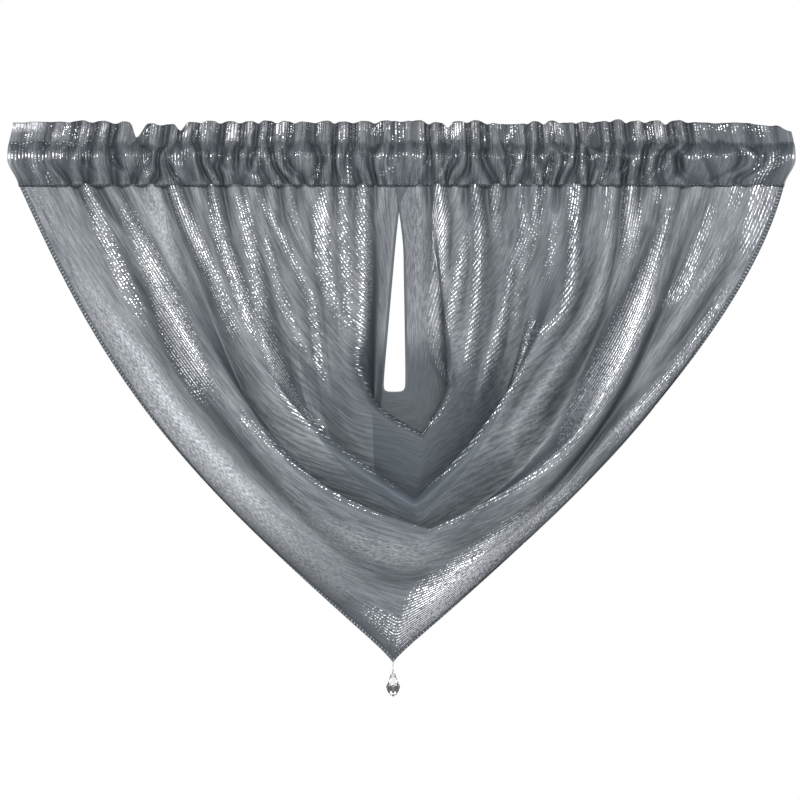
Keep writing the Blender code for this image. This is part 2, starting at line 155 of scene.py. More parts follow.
# A ridge of the drape: the line it lies on, below 0 on the left, how many lines to each side
# it may touch, and its knots seen from the front: x, z, height, half width and painted glint
# (where the metal yarn shows as a painted highlight, and a painted soft sheen below 0).
Ridge = namedtuple("Ridge", "number span knots")
RIDGES = [
    Ridge(-17.7, 2.2, [
        (-262, -18, 0.5, 8, 0.2), (-247, -50, 1.5, 9, 0.2), (-228, -90, 2, 10, -0.2),
        (-196, -135, 3, 10, -0.6), (-165, -182, 3.5, 10, -0.9), (-120, -232, 3, 10, -0.8),
        (-85, -266, 2.5, 10, -0.6), (-45, -303, 1, 9, -0.2)]),
    Ridge(-15.9, 2.4, [
        (-224, -18, 3, 4, 0.7), (-217, -40, 3.5, 5, 0.7), (-207, -64, 3, 5, 0.8),
        (-192, -98, 2.5, 5, 0.5), (-176, -128, 0.5, 6, 0)]),
    Ridge(-14.4, 3, [
        (-202, -22, 2, 6, 0.1), (-190, -48, 4, 6, 0.6), (-174, -83, 4, 8, 1),
        (-161, -118, 4.5, 10, 1.2), (-149, -148, 4, 9, 1.4), (-134, -172, 3, 9, 0.2),
        (-106, -204, 2, 9, 0)]),
    Ridge(-13, 2.4, [
        (-180, -22, 2.5, 6, -0.5), (-170, -50, 3, 6, -0.5), (-157, -82, 2, 4, -0.3),
        (-140, -115, 2, 4, 0), (-112, -165, 1, 5, 0)]),
    Ridge(-12, 2.6, [
        (-164, -18, 4, 4, 0.9), (-155, -38, 5, 5, 1.3), (-144, -62, 5, 5, 0.9),
        (-134, -84, 4, 5, 0.7), (-122, -116, 2, 5, 0.5), (-114, -135, 0, 6, 0)]),
    Ridge(-10, 2.2, [
        (-136, -18, 3, 3, 0.4), (-130, -50, 4, 5, 0.7), (-119, -80, 5, 5, 0.9),
        (-109, -110, 4, 5, 0.9), (-98, -132, 2, 5, 0.1)]),
    Ridge(-8.9, 3, [
        (-116, -18, 2, 4, 0.1), (-110, -48, 4, 5, 0.8), (-103, -84, 4, 5, 0.7),
        (-97, -120, 5, 5, 0.8), (-86, -154, 6, 5, 1.4), (-71, -180, 4, 4, 1.5),
        (-58, -191, 2, 4, 0.5)]),
    Ridge(-7.6, 3, [
        (-103, -24, 1.5, 3, 0.4), (-87, -52, 2, 3, 0.6), (-68, -90, 2, 3, 0.4),
        (-60, -110, 2.5, 7, 0.4), (-52, -142, 4, 10, 0.9), (-44, -160, 2.5, 8, 0.5),
        (-36, -178, 0, 8, 0)]),
    Ridge(-7.5, 2.5, [
        (-100, -40, 0.5, 3, 0.1), (-92, -75, 2, 3, 0.5), (-82, -108, 2, 4, 0.4),
        (-66, -142, 2, 4, 0.2), (-54, -166, 0, 5, 0)]),
    Ridge(-6, 1.8, [
        (-81, -18, 2.5, 3, 0.2), (-76, -44, 2.5, 4, 0.3), (-66, -70, 1, 4, 0.1),
        (-58, -90, 0, 4, 0)]),
    Ridge(-4.4, 2.2, [
        (-58, -18, 2, 4, 0.2), (-57, -42, 4, 5, 1.4), (-55, -78, 3.5, 5, 0.9),
        (-47, -108, 2, 4, 0.4), (-39, -128, 0, 4, 0.1)]),
    Ridge(-3.3, 1.8, [
        (-43, -18, 2, 3, 0.4), (-41, -58, 3, 4, 0.5), (-38, -92, 3.5, 4, 0.8),
        (-37, -120, 0.5, 4, 0.3)]),
    Ridge(-2.1, 1.8, [
        (-28, -12, 4, 4, 0.9), (-27, -50, 4.5, 5, 0.7), (-26, -90, 4.5, 5, 0.9),
        (-28, -126, 4, 4, 0.9), (-31, -142, 3, 3, 0.5), (-24, -163, 2, 2, 0.4)]),
    Ridge(-1, 1.2, [
        (-15, -18, 1.5, 4, 0), (-15, -60, 2, 4, 0), (-16, -110, 2, 3, 0),
        (-18, -150, 0, 3, 0)]),
    Ridge(1, 1.2, [
        (13, -22, 2, 4, 0.2), (13, -70, 2, 4, 0.1), (11, -110, 2.5, 4, 0.1),
        (8, -152, 0, 4, 0)]),
    Ridge(2, 1.8, [
        (28, -16, 4, 4, 0.9), (28, -42, 5, 5, 1.5), (26, -78, 4, 5, 0.9),
        (23, -114, 4, 5, 1), (24, -136, 3, 4, 0.5), (33, -156, 2, 3, 0.3)]),
    Ridge(4, 2.2, [
        (52, -14, 4, 3, 0.7), (56, -54, 5, 4, 0.8), (54, -96, 4, 4, 0.7),
        (49, -136, 2, 4, 0.6), (46, -154, 0, 4, 0)]),
    Ridge(3.6, 2.2, [
        (48, -46, 0.5, 3, 0.2), (42, -76, 2.5, 4, 0.7), (38, -98, 2.5, 4, 0.7),
        (33, -124, 0.5, 4, 0.4)]),
    Ridge(5, 1.6, [
        (67, -18, 3, 4, 0.7), (68, -48, 1.5, 3, 0.4), (69, -62, 0, 3, 0)]),
    Ridge(6.2, 2, [
        (86, -18, 2, 3, 0.4), (87, -46, 1.5, 3, 0.4), (79, -76, 3, 3, 0.4),
        (73, -110, 3.5, 4, 0.5), (62, -148, 3, 4, 0.6), (52, -168, 1, 4, 0.2)]),
    Ridge(7.4, 2.4, [
        (100, -18, 2.5, 4, 0.4), (95, -48, 2.5, 5, 0.4), (86, -78, 2.5, 5, 0.3),
        (81, -112, 2, 4, 0.3), (78, -132, 0, 4, 0)]),
    Ridge(9.6, 2.4, [
        (123, -12, 3.5, 4, 0.8), (123, -48, 4, 4, 0.7), (121, -86, 3.5, 4, 0.8),
        (113, -112, 1, 4, 0.5), (98, -124, 0, 4, 0.4)]),
    Ridge(9.4, 2.4, [
        (98, -104, 0, 5, 0), (88, -130, 3, 5, 0.7), (77, -158, 4.5, 5, 0.9),
        (61, -182, 3, 4, 0.8)]),
    Ridge(8.3, 1.6, [
        (110, -40, 1.5, 4, 0.2), (106, -66, 2, 4, 0.4), (103, -86, 0, 4, 0.2)]),
    Ridge(11.3, 2.6, [
        (146, -18, 3, 4, 0.4), (148, -50, 2.5, 4, 0.3), (139, -100, 4.5, 6, -0.2),
        (114, -145, 5, 7, -0.2), (82, -194, 3, 6, -0.1)]),
    Ridge(10.4, 1.8, [
        (142, -70, -1, 4, 0), (124, -112, -3.5, 5, 0), (98, -150, -4, 6, 0),
        (68, -198, -2, 6, 0)]),
    Ridge(12.9, 2.4, [
        (164, -20, 5, 5, 1), (164, -42, 5, 6, 1.3), (161, -72, 2, 6, 0.2),
        (157, -90, 0, 6, 0)]),
    Ridge(14.1, 1.6, [
        (182, -18, 3, 3, 0.9), (184, -36, 0.5, 3, 0.2)]),
    Ridge(14.8, 3.2, [
        (192, -34, 2.5, 3, 0.5), (180, -70, 4, 5, 0.8), (167, -104, 4.5, 9, 1.3),
        (151, -138, 4.5, 10, 1.3), (133, -172, 4, 9, 1), (116, -202, 3, 6, 0.5)]),
    Ridge(16.6, 2.4, [
        (222, -34, 2.5, 4, 0.4), (211, -62, 3, 4, 0.6), (198, -92, 3, 5, 0.7),
        (182, -108, 1, 4, 0.2)]),
    Ridge(17.4, 2.2, [
        (240, -20, 2.5, 5, 0.6), (232, -46, 2.5, 6, 0.1), (220, -76, 3.5, 6, 0.3),
        (196, -112, 3, 6, 0.15), (164, -160, 1.5, 6, 0)]),
    Ridge(18.3, 2, [
        (258, -22, 2, 8, 0.9), (251, -54, 3, 8, 0.8), (243, -74, 1, 6, 0.1),
        (213, -122, 3, 4, 0.6), (192, -152, 3, 4, 0.6), (172, -175, 3.5, 5, 0.9),
        (148, -200, 3, 7, 0.3), (118, -228, 1, 8, 0.1)]),
    Ridge(-16.9, 2.2, [
        (-212, -48, -1.5, 5, 0), (-196, -84, -2.5, 6, 0), (-170, -135, -2.5, 6, 0),
        (-138, -182, -2.5, 7, 0), (-96, -226, -1, 8, 0)]),
    Ridge(17.8, 2, [
        (236, -80, -1.5, 5, 0), (208, -118, -3.5, 5, 0), (180, -150, -4, 5, 0),
        (150, -184, -3, 6, 0), (112, -212, -1, 8, 0)]),
    Ridge(13.6, 2.4, [
        (176, -52, -2, 4, 0), (162, -88, -4, 5, 0), (138, -128, -4.5, 6, 0),
        (108, -176, -3.5, 8, 0)]),
    Ridge(17.6, 2.6, [
        (128, -228, 0.5, 6, 0.4), (88, -257, 2.5, 8, 0.9), (50, -289, 3.5, 10, 1.3),
        (20, -317, 4, 14, 1.5), (3, -338, 1, 11, 1.2)]),
    Ridge(-18, 1.9, [
        (-34, -316, 0, 5, 0.1), (-16, -326, 0.3, 7, 0.6), (-5, -332, 0.3, 9, 0.9)]),
    Ridge(16, 2, [
        (112, -196, -1, 8, 0), (84, -234, -3.5, 9, 0), (52, -262, -3.5, 9, 0),
        (22, -272, 0, 9, 0)]),
    Ridge(-16.6, 2.2, [
        (-88, -238, 0, 8, -0.1), (-54, -262, 2, 9, -0.2), (-18, -276, 2.5, 9, -0.3),
        (8, -280, 2.5, 9, -0.3), (36, -276, 0, 9, 0)]),
    Ridge(-18.2, 1.6, [
        (-150, -214, 0, 4, 0), (-108, -258, -2, 4, 0), (-66, -296, -2.5, 5, 0),
        (-22, -336, -1, 6, 0)]),
    Ridge(-17, 1.8, [
        (-128, -204, 0, 4, 0), (-92, -244, 2, 4, 0.2), (-56, -278, 2.5, 5, -0.2),
        (-24, -304, 0, 6, 0)]),
    Ridge(-17.6, 1.8, [
        (-40, -292, 0, 8, 0), (-10, -301, -2.5, 9, 0), (16, -300, -2, 9, 0),
        (40, -288, 0, 9, 0)]),
    Ridge(2, 0.9, [
        (-24, -163, 0, 2, 0.4), (-16, -174, 0, 2, 0.8), (0, -188, 0, 2, 0.8),
        (14, -194, 0, 2, 0.4), (20, -188, 0, 2, 0.8), (30, -178, 0, 2, 0.8),
        (36, -164, 0, 2, 0.4)]),
    Ridge(10.2, 1.2, [
        (-71, -180, 0, 4, 0.9), (-42, -203, 0, 3, 0.9), (-22, -219, 0, 3, 0.6),
        (-8, -229, 0, 2, 0.4), (4, -238, 0, 2, 0.1), (14, -233, 0, 2, 0.4),
        (30, -221, 0, 3, 0.7), (45, -206, 0, 3, 0.8), (61, -182, 0, 3, 0.9)]),
    Ridge(15.1, 1.2, [
        (-112, -182, 0, 4, 0.5), (-88, -204, 0, 3, 0.6), (-52, -232, 0, 3, 0.6),
        (-28, -246, 0, 3, 0.5), (4, -254, 0, 3, 0.5), (22, -260, 0, 3, 0.4),
        (60, -243, 0, 3, 0.5), (88, -226, 0, 4, 0.6), (114, -206, 0, 5, 0.4)]),
]

# A crease of the heading: the pleat it is at (left below 0), its middle height, how far up
# and down it reaches, its depth, and its slant and bend in pleats for a mm and a square mm.
Crease = namedtuple("Crease", "number height reach depth slant bend")
END_CREASES = [
    Crease(17.2, -2.0, 15.0, 2.2, 0.02, -0.003), Crease(17.8, -3.0, 14.0, 1.8, 0.02, -0.003),
    Crease(14.9, 6.0, 12.0, 2.0, 0.0, 0.0015), Crease(-15.6, 2.0, 14.0, 1.5, -0.02, 0.001),
]

# How far the neck's two edges lap past their line, by depth below the seam.
Lap = namedtuple("Lap", "below left right")
LAPS = [Lap(0, 5.6, -5.0), Lap(16, 0.6, -2.9), Lap(50, 0.0, 0.0), Lap(400, 0.0, 0.0)]

# Where the panel gets painted shade: the share of its light that it loses there, which also
# darkens its colour, and windows of lines, depth and place across, each from, to and the
# width of its soft ends. A window that ends at FAR has no end.
PaintedShade = namedtuple("PaintedShade", "loss lines depth across")
FAR = 1e4
PAINTED_SHADES = [
    PaintedShade(0.88, (-1.0, 3.2, 1.0), (118.0, 500.0, 34.0), (-60.0, 60.0, 20.0)),
    PaintedShade(0.5, (9.0, 16.4, 1.2), (195.0, 500.0, 35.0), (-100.0, 110.0, 50.0)),
    PaintedShade(0.22, (3.0, 12.0, 1.0), (-FAR, FAR, 1.0), (30.0, FAR, 20.0)),
    PaintedShade(0.25, (15.4, 30.0, 1.2), (235.0, FAR, 50.0), (-FAR, FAR, 1.0)),
]
# The valleys listed below lose their painted shade low down.
HOLLOWS = [(7.6, 1.3), (13.0, 0.8)]     # valleys behind the rims: line, and spread in lines

# An overlock stitch's points: share of its slant along the edge, share of the hem's width
# into the cloth, and distance out of its front.
OVERLOCK = [(0.0, 0.95, 0.55), (0.2, 0.45, 0.65), (0.5, -0.10, 0.0), (0.8, 0.45, -0.65),
            (1.0, 0.95, -0.55)]
OVERLOCK_SLANT = 0.35                   # share of the pitch that a stitch leans over
UNSEWN = 3.0                            # left without a stitch at the ends of a row

# The heading's stitch rows: name, height, whether the thread catches the light, and the
# places across that the row lies between.
Row = namedtuple("Row", "name height bright first last")
ROWS = [
    Row("end_stitches", 11.9, True, -FAR, -222.0),
    Row("frill_stitches", 11.9, False, -222.0, FAR),
    Row("seam_stitches", -17.2, False, -FAR, FAR),
]

# The soft lights: share of the key light's power, place and size in metres.
Lamp = namedtuple("Lamp", "name power place size")
LAMPS = [
    Lamp("key", 1.0, (0.0, -2.6, 0.66), (2.0, 0.20)),
    Lamp("left", 0.18, (-2.3, -1.5, 0.6), (0.5, 0.8)),
    Lamp("right", 0.03, (2.3, -1.5, 0.6), (0.5, 0.8)),
    Lamp("low", 0.14, (0.5, -2.6, -1.3), (1.2, 0.3)),
    Lamp("back", 0.3, (0.0, 2.4, 1.6), (2.0, 0.5)),
]
LIT_AT = (0.0, 0.0, -0.15)              # middle of the swag, in metres
SEEN_AT = (-0.00107, -0.1709)           # middle of the view: across and up, in metres
FLOOR_HEIGHT = -1.9                     # in metres


def length(name, note, value, most=1.0):
    return bpy.props.FloatProperty(
        name=name, description=note, default=value, min=0.0, max=most, precision=5,
        unit="LENGTH", subtype="DISTANCE")


def share(name, note, value):
    return bpy.props.FloatProperty(
        name=name, description=note, default=value, min=0.0, max=1.0, subtype="FACTOR")


def colour(name, note, value):
    return bpy.props.FloatVectorProperty(
        name=name, description=note, default=value, min=0.0, max=1.0, size=3, subtype="COLOR")


def count(name, note, value, most):
    return bpy.props.IntProperty(name=name, description=note, default=value, min=1, max=most)


class SwagVoile(bpy.types.PropertyGroup):
    """Sizes and colours of the cloth."""
    yarn: colour("Yarn", "Colour of the plain yarn", (0.047, 0.056, 0.067))
    # The glitter yarn's colour is also the colour of the painted sheen and painted glints.
    glitter: colour("Glitter yarn", "Colour of the metal yarn", (0.80, 0.82, 0.86))
    cover: share("Cover", "Share of the light that one layer stops", 0.84)
    pitch: length("Glitter spacing", "Distance between metal yarns", 0.0024)
    dash: length("Dash", "Length over which a metal yarn floats and dives", 0.0010)
    crumple: share("Crumple", "Strength of the fine crinkle", 0.75)
    lines: count("Lines per pleat", "Fineness across the fold lines", 12, 24)
    steps: count("Steps", "Fineness along each fold line's half", 200, 400)


class SwagHems(bpy.types.PropertyGroup):
    """Sizes of the hems and stitches."""
    hem: length("Hem", "Width of the rolled free edge", 0.0030)
    neck_hem: length("Neck hem", "Width of the rolled edge around the slit", 0.0016)
    thread: length("Thread", "Thickness of the sewing thread", 0.00032)
    edge_pitch: length("Overlock pitch", "Distance between overlock stitches", 0.0026)
    row_pitch: length("Stitch pitch", "Distance between stitches of a row", 0.0030)
    row_stitch: length("Stitch length", "Length of a row's stitch", 0.0019)
    tint: colour("Thread colour", "Colour of the sewing thread", (0.76, 0.77, 0.79))


class SwagStage(bpy.types.PropertyGroup):
    """Camera, light and floor."""
    distance: length("Camera distance", "Camera to the pocket", 2.6, 20.0)
    view_width: length("View width", "Width of what the camera sees at the pocket", 0.5707)
    key: bpy.props.FloatProperty(
        name="Key light", description="Strength of the front light", default=150.0, min=0.0,
        unit="POWER")
    fill: share("Room light", "Brightness of the light from all round", 0.12)
    floor: colour("Floor", "Colour of the floor", (0.86, 0.86, 0.86))


def smooth_step(value):
    """Three times the square less twice the cube: 0 to 1, level at both ends."""
    value = np.clip(value, 0.0, 1.0)
    return value * value * (3.0 - 2.0 * value)


def smooth_through(knots, values, places):
    """Cubic through the values that never overshoots: level at every peak and dip."""
    knots = np.asarray(knots, float)
    values = np.asarray(values, float)
    widths = np.diff(knots)
    slopes = np.diff(values) / widths
    turns = slopes[:-1] * slopes[1:]
    total = slopes[:-1] + slopes[1:]
    inner = np.where(turns > 0.0, 2.0 * turns / np.where(total == 0.0, 1.0, total), 0.0)
    ends = np.concatenate([slopes[:1], inner, slopes[-1:]])
    cell = np.clip(np.searchsorted(knots, places, side="right") - 1, 0, len(widths) - 1)
    part = (places - knots[cell]) / widths[cell]
    rest = 1.0 - part
    return (values[cell] * rest * rest * (1.0 + 2.0 * part)
            + ends[cell] * widths[cell] * part * rest * rest
            + values[cell + 1] * part * part * (3.0 - 2.0 * part)
            - ends[cell + 1] * widths[cell] * part * part * rest)


def unit(vectors):
    return vectors / np.maximum(np.linalg.norm(vectors, axis=-1, keepdims=True), 1e-12)


def travelled(points):
    """Distance along each row of points, from its first point."""
    hops = np.linalg.norm(np.diff(points, axis=-2), axis=-1)
    return np.concatenate([np.zeros_like(hops[..., :1]), np.cumsum(hops, axis=-1)], axis=-1)


def along_rows(wanted, known, values):
    """Straight interpolation in every row at once: each row's places are set apart."""
    apart = 2.0 * np.arange(len(known))[:, None]
    return np.interp((wanted + apart).ravel(), (known + apart).ravel(),
                     values.ravel()).reshape(len(known), -1)


def seam_column(side, numbers, name):
    """One column of the pleat table at any number: smooth, with its own ends."""
    pleats = PLEATS[side]
    whole = np.arange(EDGE_NUMBER + 1.0)
    column = [getattr(pleat, name) for pleat in pleats]
    ends = {"place": (NECK_HALF, SEAM_WIDTH / 2), "height": (0.0, 0.0),
            "run": (column[0], column[-1]), "crest": (column[0] - 1.0, EDGE_CRESTS[side])}
    return smooth_through(whole, [ends[name][0], *column, ends[name][1]], numbers)


def pleat_wave(side, numbers, roundness=0.65):
    """Height of the gathers: broad ridges on whole numbers, narrow valleys on halves."""
    pleats = PLEATS[side]
    heights = [pleat.height for pleat in pleats] + [0.0]
    halves = np.arange(EDGE_NUMBER) + 0.5
    dips = [heights[0] / 2]
    dips += [-VALLEY_SHARE * (near + far) / 2 for near, far in zip(heights, heights[1:])]
    low = smooth_through(halves, dips, numbers)
    high = seam_column(side, numbers, "height")
    swing = ((1.0 + np.cos(2.0 * math.pi * numbers)) / 2.0) ** roundness
    return low + (high - low) * swing


def frill_top(side, numbers):
    """Height of the frill's top: its crests on whole numbers, its dips on halves."""
    pleats = PLEATS[side]
    halves = np.arange(EDGE_NUMBER) + 0.5
    low = smooth_through(halves, [pleats[0].crest - 0.5] + [p.dip for p in pleats], numbers)
    high = seam_column(side, numbers, "crest")
    swing = 1.0 - ((1.0 - np.cos(2.0 * math.pi * numbers)) / 2.0) ** 2.2
    return low + (high - low) * swing


def both_sides(shape, signed, *settings):
    """A shape of one side's numbers over signed numbers, where the left's are below 0."""
    own = np.clip(np.abs(signed), 0.0, EDGE_NUMBER)
    return np.where(signed < 0.0, shape("left", own, *settings),
                    shape("right", own, *settings))


def line_column(name, numbers, side=None):
    """One column of the fold lines, or of their arms to one side, at any number."""
    source = LINES if side is None else [getattr(line, side) for line in LINES]
    knots = [line.number for line in LINES]
    return smooth_through(knots, [getattr(row, name) for row in source], numbers)


def conic_arcs(start, end, lean, rise, full, shares):
    """One conic arc a row, at shares of its length, in a plane with x inwards and z up.

    An arc is the mean of its start, its corner and its end, weighted by (1-u)^2,
    2w u(1-u) and u^2, where the corner is where its two end tangents meet.
    """
    down = np.stack([np.sin(lean), -np.cos(lean)], axis=1)
    back = np.stack([-np.cos(rise), np.sin(rise)], axis=1)
    gap = end - start
    cross = back[:, 0] * down[:, 1] - down[:, 0] * back[:, 1]
    reach = (back[:, 0] * gap[:, 1] - gap[:, 0] * back[:, 1]) / cross
    corner = start + reach[:, None] * down
    step = np.linspace(0.0, 1.0, 400)[None, :, None]
    pull = 2.0 * (full / (1.0 - full))[:, None, None] * step * (1.0 - step)
    rest = (1.0 - step) ** 2
    arcs = (rest * start[:, None] + pull * corner[:, None] + step ** 2 * end[:, None]) / (
        rest + pull + step ** 2)
    travel = travelled(arcs)
    travel = travel / travel[:, -1:]
    wanted = np.broadcast_to(shares, (len(start), len(shares)))
    return (along_rows(wanted, travel, arcs[..., 0]), along_rows(wanted, travel, arcs[..., 1]))


def ridges_over(grid, numbers, middle):
    """Height and painted glint that the ridges add to a grid of points in millimetres.

    Seen from the front, a ridge's bump falls off as 2 to the minus square of the distance
    from its curve over its half width, in the lines that the ridge may touch, and its painted
    glint as 2 to the minus fourth power: a painted highlight, or a painted sheen below 0.
    Bumps add up, and the stronger painted glint holds.
    """
    swell = np.zeros(grid.shape[:2])
    glint = np.zeros(grid.shape[:2])
    half = np.where(np.arange(grid.shape[1]) <= middle, -1.0, 1.0)
    for ridge in RIDGES:
        knots = np.array(ridge.knots, float)
        ends = knots[[0, -1], 0]
        both = ends.min() < 0.0 < ends.max()
        near = np.abs(numbers - abs(ridge.number)) < ridge.span
        rows = np.flatnonzero(near)
        columns = np.flatnonzero((half == np.sign(ends.sum())) | both)
        if len(rows) == 0:
            continue
        here = np.ix_(rows, columns)
        part = grid[here][..., [0, 2]]
        run = travelled(knots[:, :2])
        places = np.linspace(0.0, run[-1], 6 * len(knots))
        path = np.stack([smooth_through(run, column, places) for column in knots.T], axis=1)
        best = np.full(part.shape[:2], 1e9)
        values = np.zeros((*part.shape[:2], 3))     # height, half width and glitter
        for start, end in zip(path, path[1:]):
            hop = end[:2] - start[:2]
            where = np.clip(((part - start[:2]) @ hop) / (hop @ hop), 0.0, 1.0)[..., None]
            gap = np.sum((part - start[:2] - where * hop) ** 2, axis=-1)
            closer = gap < best
            best = np.where(closer, gap, best)
            mixed = start[2:] + where * (end[2:] - start[2:])
            values = np.where(closer[..., None], mixed, values)
        # glitter here is the knots' painted glint: a painted highlight, or a painted sheen
        # below 0
        height, half_width, glitter = np.moveaxis(values, -1, 0)
        touch = smooth_step((ridge.span - np.abs(numbers[rows] - abs(ridge.number))) / 0.5)
        swell[here] += height * (2.0 ** (-best / half_width ** 2) * touch[:, None])
        shown = glitter * (2.0 ** (-(best / half_width ** 2) ** 2) * touch[:, None])
        glint[here] = np.where(np.abs(shown) > np.abs(glint[here]), shown, glint[here])
    return swell, glint


def crinkles(numbers, shares, seed, creases=46):
    """Small seeded creases along the lines, fading in and out, some tenths of a line wide."""
    chance = np.random.default_rng(seed)
    total = np.zeros((len(numbers), len(shares)))
    for _ in range(creases):
        centre = chance.uniform(0.6, 18.6)
        spread = chance.uniform(0.22, 0.55)
        height = chance.uniform(0.35, 1.15) * chance.choice([1.0, 1.0, -1.0])
        middle = chance.uniform(0.08, 0.78)
        reach = chance.uniform(0.10, 0.26)
        drift = chance.uniform(-1.6, 1.6)
        offset = numbers[:, None] - centre - drift * (shares[None, :] - middle)
        across = np.clip(1.0 - np.sqrt((offset / spread) ** 2 + 0.02), 0.0, 1.0) ** 1.6
        along = np.clip(1.0 - ((shares - middle) / reach) ** 2, 0.0, 1.0) ** 2
        total += height * across * along[None, :]
    return total


def half_drape(side, numbers, shares):
    """One side of the drape, a row for each line, from the seam to the middle.

    Across and down it follows the line's conic arc. Forward it is the fading wave of the
    gathers, the line's own forward set, its belly and the small creases.
    """
    outwards = -1.0 if side == "left" else 1.0
    places = seam_column(side, numbers, "place")
    start = np.stack([-places, np.full_like(places, -SEAM_DROP + TUCK)], axis=1)
    end = np.stack([-outwards * line_column("across", numbers),
                    -line_column("drop", numbers)], axis=1)
    inwards, height = conic_arcs(
        start, end, np.radians(line_column("lean", numbers, side)),
        np.radians(line_column("rise", numbers, side)), line_column("full", numbers, side),
        shares)
    runs = PLEAT_RUN * seam_column(side, numbers, "run")[:, None]
    fade = 1.0 - smooth_step(shares[None, :] / runs)
    out = (WAVE_SHARE * pleat_wave(side, numbers)[:, None] * fade
           + line_column("forward", numbers)[:, None] * smooth_step(shares)[None, :]
           + line_column("belly", numbers, side)[:, None] * np.sin(math.pi * shares)[None, :]
           + crinkles(numbers, shares, CREASE_SEEDS[side]))
    below = -SEAM_DROP - height
    inner = 1.0 - smooth_step(numbers / LAP_LINES)[:, None]
    lap = smooth_through([row.below for row in LAPS],
                         [getattr(row, side) for row in LAPS], below) * inner
    front = outwards * NECK_STEP * inner * (1.0 - smooth_step(below / NECK_RUN))
    return np.stack([-outwards * inwards + lap, -out - front, height], axis=-1)


def soften_middle(grid, numbers, passes=14, reach=40, rim_width=0.35):
    """Rounds each line where its halves meet, all but the rims: repeated means of three.

    The reach is in points to each side of the middle, and a rim's width in lines.
    """
    keep = np.max([np.exp(-((numbers - rim) / rim_width) ** 2) for rim in RIMS], axis=0)
    softness = (1.0 - keep)[:, None, None]
    middle = grid.shape[1] // 2
    zone = slice(middle - reach, middle + reach + 1)
    for _ in range(passes):
        part = grid[:, zone]
        mean = part.copy()
        mean[:, 1:-1] = (part[:, :-2] + 2.0 * part[:, 1:-1] + part[:, 2:]) / 4.0
        grid[:, zone] = part + (mean - part) * softness
    return grid


def drape(numbers, steps):
    """The whole panel in metres, left seam to right seam, its cloth coordinates and its
    painted glint.

    The thread draws the last lines out at the cloth's point, halving to each side.
    Across the cloth a point's place is the width gathered between it and the slit, plus
    what the yarns drift inwards on their way down; along it is the distance travelled.
    """
    even = np.linspace(0.0, 1.0, steps + 1)
    shares = 0.5 * even + 0.5 * np.sin(even * math.pi / 2)
    left = half_drape("left", numbers, shares)
    right = half_drape("right", numbers, shares)
    grid = np.concatenate([left, right[:, -2::-1]], axis=1)
    middle = len(shares) - 1
    swell, glint = ridges_over(grid, numbers, middle)
    grid[..., 1] -= swell
    grid = soften_middle(grid, numbers)
    beside = np.abs(grid[..., 0] - LINES[-1].across)
    last = smooth_step((numbers - (EDGE_NUMBER - POINT_LINES)) / POINT_LINES)[:, None]
    grid[..., 2] -= POINT_DRAW * last * 2.0 ** (-beside / POINT_HALVING)
    points = grid * MM
    travel = travelled(points)
    mean = travelled(points[:, middle])
    to_seam = np.minimum(travel, travel[:, -1:] - travel)
    mixed = []
    for half in (left, right):
        width = travelled(half[:, 0]) * MM
        mixed.append(width[:, None] + (mean - width)[:, None] * smooth_step(shares))
    across = np.concatenate([mixed[0], mixed[1][:, -2::-1]], axis=1)
    half_run = travel[:, middle][:, None]
    drift = YARN_DRIFT * (1.0 - smooth_step(numbers / DRIFT_LINES))[:, None]
    across = across + drift * to_seam * (1.0 - 0.5 * to_seam / half_run)
    return points, np.stack([across, travel], axis=-1), glint


def heading_profile(fineness):
    """Heights, depths, wave shares and crest shares down the front from top to seam.

    The frill runs straight down to its stitch row. Under it the pocket swells out as a
    power of the cosine to its foremost height, and goes back in to the seam as a quarter
    ellipse.
    """
    frill = np.linspace(1.0, 0.0, fineness)[:, None]
    turn = np.radians(np.linspace(90.0, -90.0, 4 * fineness)[1:, None])
    above = FRILL_ROOT - FOREMOST
    below = FOREMOST + SEAM_DROP
    share_up = 2.0 * turn / math.pi
    out = np.cos(turn) ** np.where(turn > 0.0, 0.8, 1.0)
    height = np.concatenate([FRILL_ROOT + 0.0 * frill,
                             FOREMOST + np.where(turn > 0.0, above * share_up,
                                                 below * np.sin(turn))])
    back = np.where(turn < 0.0, np.sin(turn) ** 2, 0.0)
    depth = np.concatenate([
        FRILL_DEPTH + (STITCHED_DEPTH - FRILL_DEPTH) * (1.0 - frill) ** 2,
        STITCHED_DEPTH + (POCKET_RADIUS - STITCHED_DEPTH) * out
        - (STITCHED_DEPTH - SEAM_DEPTH) * back])
    # The gathers stand out most at the frill's top and at the pocket's foremost height.
    wave = np.concatenate([0.8 + 0.5 * frill, 0.95 + 0.25 * np.cos(turn)])
    rise = np.concatenate([frill, 0.0 * turn])
    return height, depth, wave, rise


def along_heading(place, height):
    """Where a place at the seam comes at a height: the pocket is the longest part."""
    widen = (WIDTH - SEAM_WIDTH) * smooth_step(height / SEAM_DROP + 1.0)
    narrow = (WIDTH - FRILL_WIDTH) * smooth_step((height - 10.0) / SEAM_DROP)
    return place * (SEAM_WIDTH + widen - narrow) / SEAM_WIDTH


